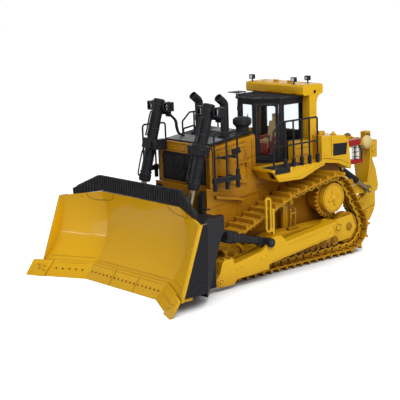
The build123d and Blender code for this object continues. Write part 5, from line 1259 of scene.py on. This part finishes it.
class BuildRolloverBar(bpy.types.Operator):
    """Lifting eyes, bolts, pads and holes of the roll-over bar, and its lamps' lenses"""
    bl_idname = "bulldozer.rollover_bar"
    bl_label = "Roll-over bar"

    def execute(self, context):
        yellow, pits, black, clear = blank(4)
        top, bar = 95.4, "rollover_bar"
        for y in (-7.5, -5.2, 3.4, 5.6):
            add_block(yellow, (-27.2, y - 0.3, top - 0.1), (-25.4, y + 0.3, top + 1.3), 0.25)
        for y in (-14.0, 9.6):
            add_disc(yellow, at(-24.0, y, top), (0, 0, 1), 1.0, 0.4, 0.15, 20)
        for x in (-31.6, -20.4):
            add_line(yellow, [at(x, -22.0, top), at(x, 22.0, top)], 0.18, 6)

        def draw(side):
            out = Vector((0, side, 0))
            eye = at(-27.2, side * 22.9, 91.4)
            # A disc of painted shade stands for the eye's hole.
            add_hole_shade(pits, eye + out * mm(0.03), out, 0.9, 20)
            add_ring(yellow, eye, out, 1.3, 0.9, 0.2, 24)
            stud(yellow, bar, from_side([(-26.6, z) for z in (80.4, 70.0, 62.0)], side), 0.34, 0.25)
            for x in (-30.6, -22.6):
                for y in (18.8, 22.3):
                    add_bolt(yellow, at(x, side * y, 56.2), (0, 0, 1), 0.4, 0.3)
            for z in (58.6, 59.8):
                trace(yellow, bar, from_side(((-27.6, z), (-25.6, z)), side), 0.16, 6, 0.0)

        both_sides(draw)
        stud(yellow, bar, from_front([(y, 92.2) for y in (-18.6, -12.4, -6.2, 0.0, 6.2, 12.4, 18.6)]), 0.3, 0.22)
        add_pads(yellow, bar, from_front(((-10.0, 90.6), (10.0, 90.6))), (-4.0, -0.5, -0.1), (4.0, 0.5, 0.35), 0.15,
                 (0, 1, 0))
        for x, y in ((-20.4, -19.6), (-20.4, 14.0)):
            add_block(clear, (x + 1.05, y - 1.1, top + 1.7), (x + 1.3, y + 1.1, top + 3.6), 0.1)
            add_line(black, [at(x + 1.2, y + b, top + 1.5 + c) for b, c in band((-1.3, 0), (1.3, 2.3))], 0.16, 6)
        add_ring(black, at(-29.9, 14.0, top + 2.65), (1, 0, 0), 1.35, 0.95, 0.5, 24)
        add_disc(clear, at(-29.95, 14.0, top + 2.65), (1, 0, 0), 0.95, 0.2, 0.08, 22)
        keep_all("chassis", (yellow, "rollover_fittings", "yellow", "yellow"),
                 (pits, "rollover_hole_shade", "yellow", "black_joints_and_painted_shade"), (black, "roof_lamp_rims", "black", "black"),
                 (clear, "roof_lamp_lenses", "white", "white"))
        return {"FINISHED"}


# ---- fenders and tank -----------------------------------------------------------------------
class BuildFenders(bpy.types.Operator):
    """Walkway plates, edge strips, bolts and lamps of the fenders"""
    bl_idname = "bulldozer.fenders"
    bl_label = "Fenders"

    def execute(self, context):
        black, yellow, seams, clear, dots = blank(5)
        fenders = "fenders"

        def draw(side):
            (deck, _), = met(fenders, from_above(((4.0, 31.0),), side))
            level = deck.z * 1000
            side_block(black, side, (-6.8, 27.4, level - 0.1), (17.6, 36.6, level + 0.25))
            for column in range(22):
                for row in range(8):
                    spot = at(-6.0 + column * 1.08, side * (28.2 + row * 1.1), level + 0.3)
                    add_cone(dots, Matrix.Translation(spot), 0.3, 0.14, 0.16, 6)
            side_block(black, side, (6.4, 37.2, level - 2.6), (17.2, 37.75, level + 0.3), 0.2)
            stud(yellow, fenders, from_side([(x, level - 1.2) for x in (-17.6, -12.0, -6.0, 0.0, 3.6)], side),
                 0.3, 0.22)
            trim = ((14.6, 50.2), (2.0, 49.6), (-4.6, 50.6), (-16.0, 54.0), (-19.0, 54.2))
            trace(yellow, fenders, from_side(trim, side), 0.24, 6, 0.0)
            lens = at(14.3, side * 33.6, 52.2)
            add_disc(clear, lens, (1, 0, 0), 1.35, 0.3, 0.15, 24)
            add_ring(black, lens, (1, 0, 0), 1.75, 1.35, 0.5, 24)
            for brown_joints_and_painted_shade in (((-18.8, 58.6), (-8.6, 58.6)), ((-18.8, 62.6), (-8.6, 62.6)),
                         ((-13.6, 57.0), (-13.6, 65.6))):
                trace(seams, fenders, from_side(brown_joints_and_painted_shade, side), 0.12)
            stud(yellow, fenders, from_side([(x, z) for x in (-17.8, -9.6) for z in (57.6, 65.0)], side), 0.32, 0.25)
            side_block(yellow, side, (-12.0, 26.9, 60.0), (-10.6, 27.5, 60.6), 0.12)

        both_sides(draw)
        keep_all("chassis", (black, "fender_treads", "black", "black"),
                 (dots, "fender_tread_studs", "black", "black"), (yellow, "fender_fittings", "yellow", "yellow"),
                 (seams, "fender_seams", "yellow", "brown_joints_and_painted_shade"), (clear, "fender_lamp_lenses", "white", "white"))
        return {"FINISHED"}


class BuildTank(bpy.types.Operator):
    """Caps, panel seams and blank side panels of the fuel tank"""
    bl_idname = "bulldozer.tank"
    bl_label = "Fuel tank"

    def execute(self, context):
        yellow, seams, plates, black = blank(4)
        tank = "fuel_tank"

        def draw(side):
            trace(seams, tank, from_side(((-32.4, 56.0), (-32.4, 62), (-32.4, 66.6)), side), 0.12)
            trace(seams, tank, from_side(((-26.4, 55.4), (-32.4, 54.4), (-40.0, 52.8), (-46.0, 50.2)), side), 0.12)
            for point, normal in met(tank, from_side(((-39.2, 59.0),), side)):
                add_plate(plates, ((-5.4, -3.3 * side), (5.0, -3.3 * side), (5.8, 3.1 * side), (-5.4, 3.5 * side)),
                          -0.1, 0.22, 0.1, frame_to(point, normal, (-1, 0, -0.02)))
            stud(yellow, tank, from_side(((-27.4, 65.6), (-31.0, 65.4), (-27.4, 57.2), (-45.6, 52.4),
                                          (-44.8, 62.6)), side), 0.3, 0.22)

        both_sides(draw)
        for x, y, radius in ((-32.0, 22.0, 2.0), (-38.6, 25.6, 1.5), (-33.0, -18.0, 2.2)):
            for point, normal in met(tank, from_above(((x, y),))):
                add_disc(yellow, point, normal, radius, 1.0, 0.35, 28)
                add_disc(yellow, point + normal * mm(1.0), normal, radius * 0.6, 0.5, 0.2, 22)
                add_block(yellow, (-radius * 0.55, -0.25, 1.4), (radius * 0.55, 0.25, 1.9), 0.12,
                          frame_to(point, normal))
        for y in (-20.0, -7.0, 7.0, 20.0):
            trace(seams, tank, from_rear([(y, z) for z in (51.8, 56.0, 62.0)]), 0.14)
        stud(yellow, tank, from_rear([(y, z) for y in (-26, -13, 0, 13, 26) for z in (52.4, 61.4)]), 0.4, 0.3)
        for point, normal in met(tank, from_rear(((-12.0, 56), (12.0, 56)))):
            add_ring(black, point, normal, 1.9, 1.3, 0.8, 24)
            add_disc(black, point, normal, 1.3, 0.3, 0.1, 22)
        keep_all("chassis", (yellow, "tank_fittings", "yellow", "yellow"), (seams, "tank_seams", "yellow", "brown_joints_and_painted_shade"),
                 (plates, "tank_panels", "black", "black"), (black, "rear_lamps", "black", "black"))
        return {"FINISHED"}


# ---- ripper ---------------------------------------------------------------------------------
class BuildRipper(bpy.types.Operator):
    """Pin caps, domes, hoses, bolts and tooth seams of the ripper"""
    bl_idname = "bulldozer.ripper"
    bl_label = "Ripper"

    def execute(self, context):
        fixed, tool, tip, link, dome, seams, black, ring = blank(8)

        def draw(side):
            out = Vector((0, side, 0))

            def on_side(solid, points):
                """Points on a solid's outer side at each X and Z."""
                return [point for point, _ in met(solid, from_side(points, side))]

            for point in on_side("ripper_bracket", ((-60.0, 56.4), (-58.5, 44.5), (-59.0, 28.5))):
                add_disc(fixed, point, out, 1.9, 0.5, 0.2, 24)
                add_ring(fixed, point + out * mm(0.5), out, 1.3, 0.9, 0.25, 22)
                add_bolt(fixed, point + out * mm(0.45), out, 0.5, 0.3)
            # The domes are cream, a painted highlight of light on round yellow ends.
            add_turned(dome, frame_to(at(-85.1, side * 8.2, 55.6), out),
                       ((3.9, -0.6), (3.9, 0.0), (3.5, 0.7), (2.6, 1.4), (1.3, 1.8), (0.01, 1.9)), 32)
            for share in (0.14, 0.42, 0.72):
                turn = frame_to(at(-60.0 - 25.5 * share, side * 6.4, 56.4 - 2.0 * share), (-25.5, 0, -2.0))
                add_turned(tip, turn, ((1.7, -0.4), (2.35, -0.25), (2.35, 0.25), (1.7, 0.4)), 22)
            for point in on_side("ripper_carriage", ((-90.4, 52.8), (-90.4, 47.6), (-94.2, 50.2))):
                add_disc(tool, point, out, 0.8, 0.35, 0.15, 18)
            for point in on_side("ripper_carriage", ((-92.6, 50.2),)):
                add_disc(tool, point, out, 1.9, 0.6, 0.25, 24)
                add_bolt(tool, point + out * mm(0.55), out, 0.7, 0.4)
            for point in on_side("ripper_shank", ((-91.6, 27.4),)):
                add_ring(tool, point, out, 1.5, 0.95, 0.3, 24)
                # A disc of painted shade stands for the pin hole.
                add_hole_shade(seams, point + out * mm(0.04), out, 0.95, 20)
            tooth = on_side("ripper_shank", ((-97.6, 15.2), (-91.6, 13.8), (-84.8, 12.4)))
            add_line(seams, [point + out * mm(0.02) for point in tooth], 0.14)
            for point in on_side("ripper_shank", ((-95.0, 12.6), (-90.0, 10.4))):
                add_bolt(tool, point, out, 0.5, 0.35)
            for share in (0.1, 0.5, 0.9):
                for point in on_side("ripper_arm", ((-59.0 - 25.5 * share, 28.5 - 2.0 * share),)):
                    add_disc(link, point, out, 1.0 if share == 0.5 else 1.5, 0.35, 0.15, 22)
            for radius, route in ((0.55, ((-48.6, 14.6, 47.4), (-54.0, 14.4, 46.6), (-57.6, 13.6, 42.0),
                                          (-58.4, 12.6, 38.6))),
                                  (0.5, ((-48.4, 10.0, 57.4), (-54.6, 11.6, 58.2), (-58.0, 11.8, 55.0),
                                         (-59.4, 11.4, 50.6)))):
                add_pipe(black, [at(x, side * y, z) for x, y, z in route], radius, 10)
            stud(fixed, "ripper_bracket", from_rear([(y, z) for z in (24.0, 34.0, 49.0) for y in (4.0, 9.0)], side),
                 0.45, 0.3)

        both_sides(draw)
        add_turned(ring, frame_to(at(-92.0, 2.9, 57.6), (0, 1, 0)),
                   ((1.5, -0.25), (1.8, 0), (1.5, 0.25), (1.2, 0), (1.5, -0.25)), 24)
        add_rod(ring, at(-92.0, 2.2, 56.0), at(-92.0, 3.1, 56.0), 0.4, 10)
        keep(fixed, "ripper_bracket_caps", "chassis", "yellow")
        keep(tool, "ripper_tool_fittings", "ripper_tool", "yellow")
        keep(tip, "ripper_tip_bands", "ripper_tip", "yellow")
        keep(link, "ripper_link_caps", "ripper_link", "yellow")
        keep(dome, "ripper_tip_domes", "ripper_tip", "highlight_yellow")
        keep(seams, "ripper_shank_seams_and_hole_shade", "ripper_tool", "brown_joints_and_painted_shade")
        keep(black, "ripper_pipes", "chassis", "rubber")
        keep(ring, "shank_lifting_ring", "ripper_tool", "black")
        return {"FINISHED"}


class BuildBottles(bpy.types.Operator):
    """Caps, bands and clamps of the two service bottles"""
    bl_idname = "bulldozer.bottles"
    bl_label = "Service bottles"

    def execute(self, context):
        black, red = blank(2)
        for x in (-57.2, -54.6):
            foot = frame_to(at(x, 26.0, 50.9), (0, 0, 1))
            for height in (1.4, 4.0, 6.6):
                add_turned(black, foot, ((1.0, height - 0.2), (1.3, height - 0.1), (1.3, height + 0.2),
                                         (1.0, height + 0.3)), 22)
            add_disc(black, at(x, 26.0, 58.6), (0, 0, 1), 0.7, 0.8, 0.2, 16)
            add_disc(black, at(x, 26.0, 51.2), (0, 0, -1), 0.7, 0.6, 0.2, 16)
        spots = [(-59.4, 50.6), *((x, z) for z in (50.6, 59.6) for x in (-56.0, -52.0, -49.2))]
        for point, _ in met("bottle_brackets", from_side(spots)):
            add_bolt(red, point, (0, 1, 0), 0.34, 0.25)
        add_pipe(black, [at(-57.0, 27.6, 59.0), at(-57.6, 28.2, 57.2), at(-59.0, 28.0, 54.4), at(-60.0, 26.4, 50.0)],
                 0.4, 10)
        keep_all("chassis", (black, "bottle_bands", "black", "black"), (red, "bracket_bolts", "red", "red"))
        return {"FINISHED"}


# ---- hoses ----------------------------------------------------------------------------------
class BuildHoses(bpy.types.Operator):
    """Moulded hydraulic hoses at the nose and from the lift cylinders to the hood"""
    bl_idname = "bulldozer.hoses"
    bl_label = "Hoses"

    def execute(self, context):
        ribbed, fittings, hose, foot = blank(4)

        def draw(side):
            for index in range(3):
                y = 16.4 + 1.5 * index
                line = smooth_line([at(x, side * (y + shift), z) for x, shift, z in (
                    (49.4, 0, 47.2), (51.6, 0, 44.6), (52.2, 0.4, 39.0), (51.6, 0.8, 33.0), (49.6, 0.8, 28.6))], 7)
                for start, end in zip(line, line[1:]):
                    add_rod(ribbed, start, end, 0.62, 12)
                    add_rod(ribbed, start.lerp(end, 0.3), start.lerp(end, 0.7), 0.8, 12)
                for x, z in ((49.0, 47.4), (49.2, 28.2)):
                    add_disc(fittings, at(x, side * y, z), (1, 0, 0.2), 0.9, 0.6, 0.2, 14)
            side_block(fittings, side, (47.9, 15.2, 37.0), (51.0, 20.6, 38.4), 0.3)

        both_sides(draw)
        for shift in (0.0, -1.3):
            add_pipe(hose, [at(x, y + shift, z) for x, y, z in (
                (45.2, -12.8, 84.0), (42.0, -12.2, 80.4), (41.4, -12.0, 76.6), (40.2, -11.8, 73.4),
                (37.0, -11.6, 71.8))], 0.45, 10)
            add_disc(foot, at(36.6, -11.6 + shift, 71.2), (0, 0, 1), 0.8, 0.7, 0.2, 16)
        keep_all("chassis", (ribbed, "nose_hoses", "black", "rubber"),
                 (fittings, "nose_hose_fittings", "black", "black"), (hose, "hood_pipes", "black", "rubber"),
                 (foot, "hood_pipe_feet", "black", "black"))
        return {"FINISHED"}


# ---- studio ---------------------------------------------------------------------------------
class BulldozerStage(bpy.types.PropertyGroup):
    view_from: FloatVectorProperty(name="View from", description="Azimuth and elevation of the camera",
                                   size=2, subtype="EULER", unit="ROTATION", default=(0.874, 0.223))
    view_distance: FloatProperty(name="Distance", description="Camera distance from the middle of the view",
                                 default=0.6599, subtype="DISTANCE", unit="LENGTH")
    view_roll: FloatProperty(name="Roll", description="Tilt of the camera about its view", subtype="ANGLE",
                             unit="ROTATION", default=math.radians(-1.95))
    lens: FloatProperty(name="Lens", description="Focal length in millimetres", default=110.9, min=10)
    sky: FloatProperty(name="Sky", description="Light from all round", min=0, default=0.2)
    key: FloatProperty(name="Key lamp", description="Power of the lamp above the machine's left, in watts",
                       min=0, default=2.3)
    top: FloatProperty(name="Top lamp", description="Power of the lamp overhead, in watts", min=0, default=0.35)
    front: FloatProperty(name="Front lamp", description="Power of the lamp ahead of the blade, in watts",
                         min=0, default=0.75)
    beside: FloatProperty(name="Side lamp", description="Power of the low lamp at the machine's left, in watts",
                          min=0, default=1.25)


def add_lamp(name, place, target, size, power):
    """Soft lamp at a point in millimetres, turned to another."""
    data = bpy.data.lights.new(name, "AREA")
    data.shape = "RECTANGLE"
    data.size, data.size_y = size
    data.energy = power
    lamp = bpy.data.objects.new(name, data)
    lamp.matrix_world = frame_to(at(*place), at(*place) - at(*target))
    bpy.context.scene.collection.objects.link(lamp)


def seen_rays(tree):
    """1 for rays that look at, mirror or pass through to a thing, 0 for rays that gather light."""
    rays = node(tree, "ShaderNodeLightPath").outputs
    seen = node(tree, "ShaderNodeMath", {0: rays["Is Camera Ray"], 1: rays["Is Glossy Ray"]}, operation="MAXIMUM")
    return node(tree, "ShaderNodeMath", {0: seen.outputs[0], 1: rays["Is Transmission Ray"]},
                operation="MAXIMUM").outputs[0]


def floor_material():
    """Pale floor that turns white for the camera, with a painted contact shadow where its glow fades near the machine,
    and that keeps the machine's real shadow in its matt part.
    """
    material = bpy.data.materials.new("floor")
    tree = bare_tree(material)
    near = node(tree, "ShaderNodeAmbientOcclusion", {"Distance": 0.034}, samples=8)
    # Painted contact shadow: the glow fades where ambient occlusion finds the machine close, so the floor darkens
    # under it.
    glow_with_painted_shadow = node(tree, "ShaderNodeMapRange", {"Value": near.outputs["AO"], 1: 0.18, 2: 0.8, 3: 0.0, 4: 0.95})
    glow = node(tree, "ShaderNodeMath", {0: seen_rays(tree), 1: glow_with_painted_shadow.outputs["Result"]},
                operation="MULTIPLY")
    matt = node(tree, "ShaderNodeBsdfDiffuse", {"Color": (0.5, 0.5, 0.5, 1)})
    lit = node(tree, "ShaderNodeEmission", {"Strength": glow.outputs[0]})
    both = node(tree, "ShaderNodeAddShader", {0: matt.outputs[0], 1: lit.outputs[0]})
    node(tree, "ShaderNodeOutputMaterial", {"Surface": both.outputs[0]})
    return material


def sky_world(strength):
    """World that lights from all round and shows plain white."""
    world = bpy.data.worlds.new("studio")
    tree = bare_tree(world)
    place = node(tree, "ShaderNodeTexCoord").outputs["Generated"]
    height = node(tree, "ShaderNodeSeparateXYZ", {0: place}).outputs["Z"]
    fade = node(tree, "ShaderNodeMapRange", {"Value": height, 1: -0.1, 2: 0.9, 3: 0.5, 4: 1.0})
    soft = node(tree, "ShaderNodeMath", {0: fade.outputs["Result"], 1: strength}, operation="MULTIPLY")
    around = node(tree, "ShaderNodeBackground", {"Color": (1, 1, 1, 1), "Strength": soft.outputs[0]})
    plain = node(tree, "ShaderNodeBackground", {"Color": (1, 1, 1, 1), "Strength": 1.0})
    mixed = node(tree, "ShaderNodeMixShader", {0: seen_rays(tree), 1: around.outputs[0], 2: plain.outputs[0]})
    node(tree, "ShaderNodeOutputWorld", {"Surface": mixed.outputs[0]})
    return world


class SetStage(bpy.types.Operator):
    """Set up the floor, the lamps and the camera"""
    bl_idname = "bulldozer.set_stage"
    bl_label = "Set the stage"

    def execute(self, context):
        scene = context.scene
        stage = scene.bulldozer_stage
        shape = bmesh.new()
        bmesh.ops.create_circle(shape, cap_ends=True, segments=64, radius=2.5)
        mesh = bpy.data.meshes.new("floor")
        shape.to_mesh(mesh)
        shape.free()
        mesh.materials.append(floor_material())
        floor = bpy.data.objects.new("floor", mesh)
        scene.collection.objects.link(floor)
        scene.world = sky_world(stage.sky)
        middle = (0, 0, 40)
        add_lamp("key_lamp", (170, 400, 440), middle, (0.34, 0.34), stage.key)
        add_lamp("top_lamp", (0, -120, 620), middle, (0.5, 0.4), stage.top)
        add_lamp("front_lamp", (620, 40, 90), (60, 0, 30), (0.3, 0.2), stage.front)
        add_lamp("strip_lamp", (664, -84, 246), (78, -47, 25), (0.012, 0.16), 0.16)
        add_lamp("side_lamp", (60, 640, 130), (-20, 0, 30), (0.4, 0.2), stage.beside)
        scene.view_settings.view_transform = "Standard"
        data = bpy.data.cameras.new("camera")
        data.lens = stage.lens
        data.sensor_width = 36
        data.shift_x, data.shift_y = -0.012, 0.094
        data.clip_start, data.clip_end = 0.05, 20
        camera = bpy.data.objects.new("camera", data)
        azimuth, elevation = stage.view_from
        away = Vector((math.cos(azimuth) * math.cos(elevation), math.sin(azimuth) * math.cos(elevation),
                       math.sin(elevation)))
        target = at(38.6, 4.2, 18.3)
        turn = away.to_track_quat("Z", "Y").to_matrix().to_4x4()
        roll = Matrix.Rotation(stage.view_roll, 4, "Z")
        camera.matrix_world = Matrix.Translation(target + away * stage.view_distance) @ turn @ roll
        scene.collection.objects.link(camera)
        scene.camera = camera
        return {"FINISHED"}


# ---- add-on ---------------------------------------------------------------------------------
SETTINGS = {"bulldozer_paint": BulldozerPaint, "bulldozer_detail": BulldozerDetail,
            "bulldozer_stage": BulldozerStage}
STEPS = (PaintSolids, BuildBladeFace, BuildCuttingEdges, BuildRockGuardRibs, BuildBladeBack, BuildPushArms,
         BuildLiftCylinders, BuildCylinderLamps, BuildChain, BuildDrives, BuildFrames,
         BuildHoodSides, BuildHoodDeck, BuildRadiator, BuildHull, BuildCabShell,
         BuildCabInside, BuildRolloverBar, BuildFenders, BuildTank,
         BuildRipper, BuildBottles, BuildHoses, SetStage)


class BULLDOZER_PT_build(bpy.types.Panel):
    """Build steps and settings of the bulldozer"""
    bl_label = "Bulldozer"
    bl_space_type = "VIEW_3D"
    bl_region_type = "UI"
    bl_category = "Bulldozer"

    def draw(self, context):
        for name, group in SETTINGS.items():
            values = getattr(context.scene, name)
            column = self.layout.column(align=True)
            for key in group.__annotations__:
                column.prop(values, key)
        for step in STEPS:
            self.layout.operator(step.bl_idname)


def register():
    for settings in SETTINGS.values():
        bpy.utils.register_class(settings)
    for step in STEPS:
        bpy.utils.register_class(step)
    bpy.utils.register_class(BULLDOZER_PT_build)
    for name, settings in SETTINGS.items():
        setattr(bpy.types.Scene, name, PointerProperty(type=settings))


def unregister():
    for name in SETTINGS:
        delattr(bpy.types.Scene, name)
    bpy.utils.unregister_class(BULLDOZER_PT_build)
    for made in (*STEPS, *SETTINGS.values()):
        bpy.utils.unregister_class(made)


def main():
    register()
    for step in STEPS:
        area, action = step.bl_idname.split(".")
        getattr(getattr(bpy.ops, area), action)()


if __name__ == "__main__":
    main()
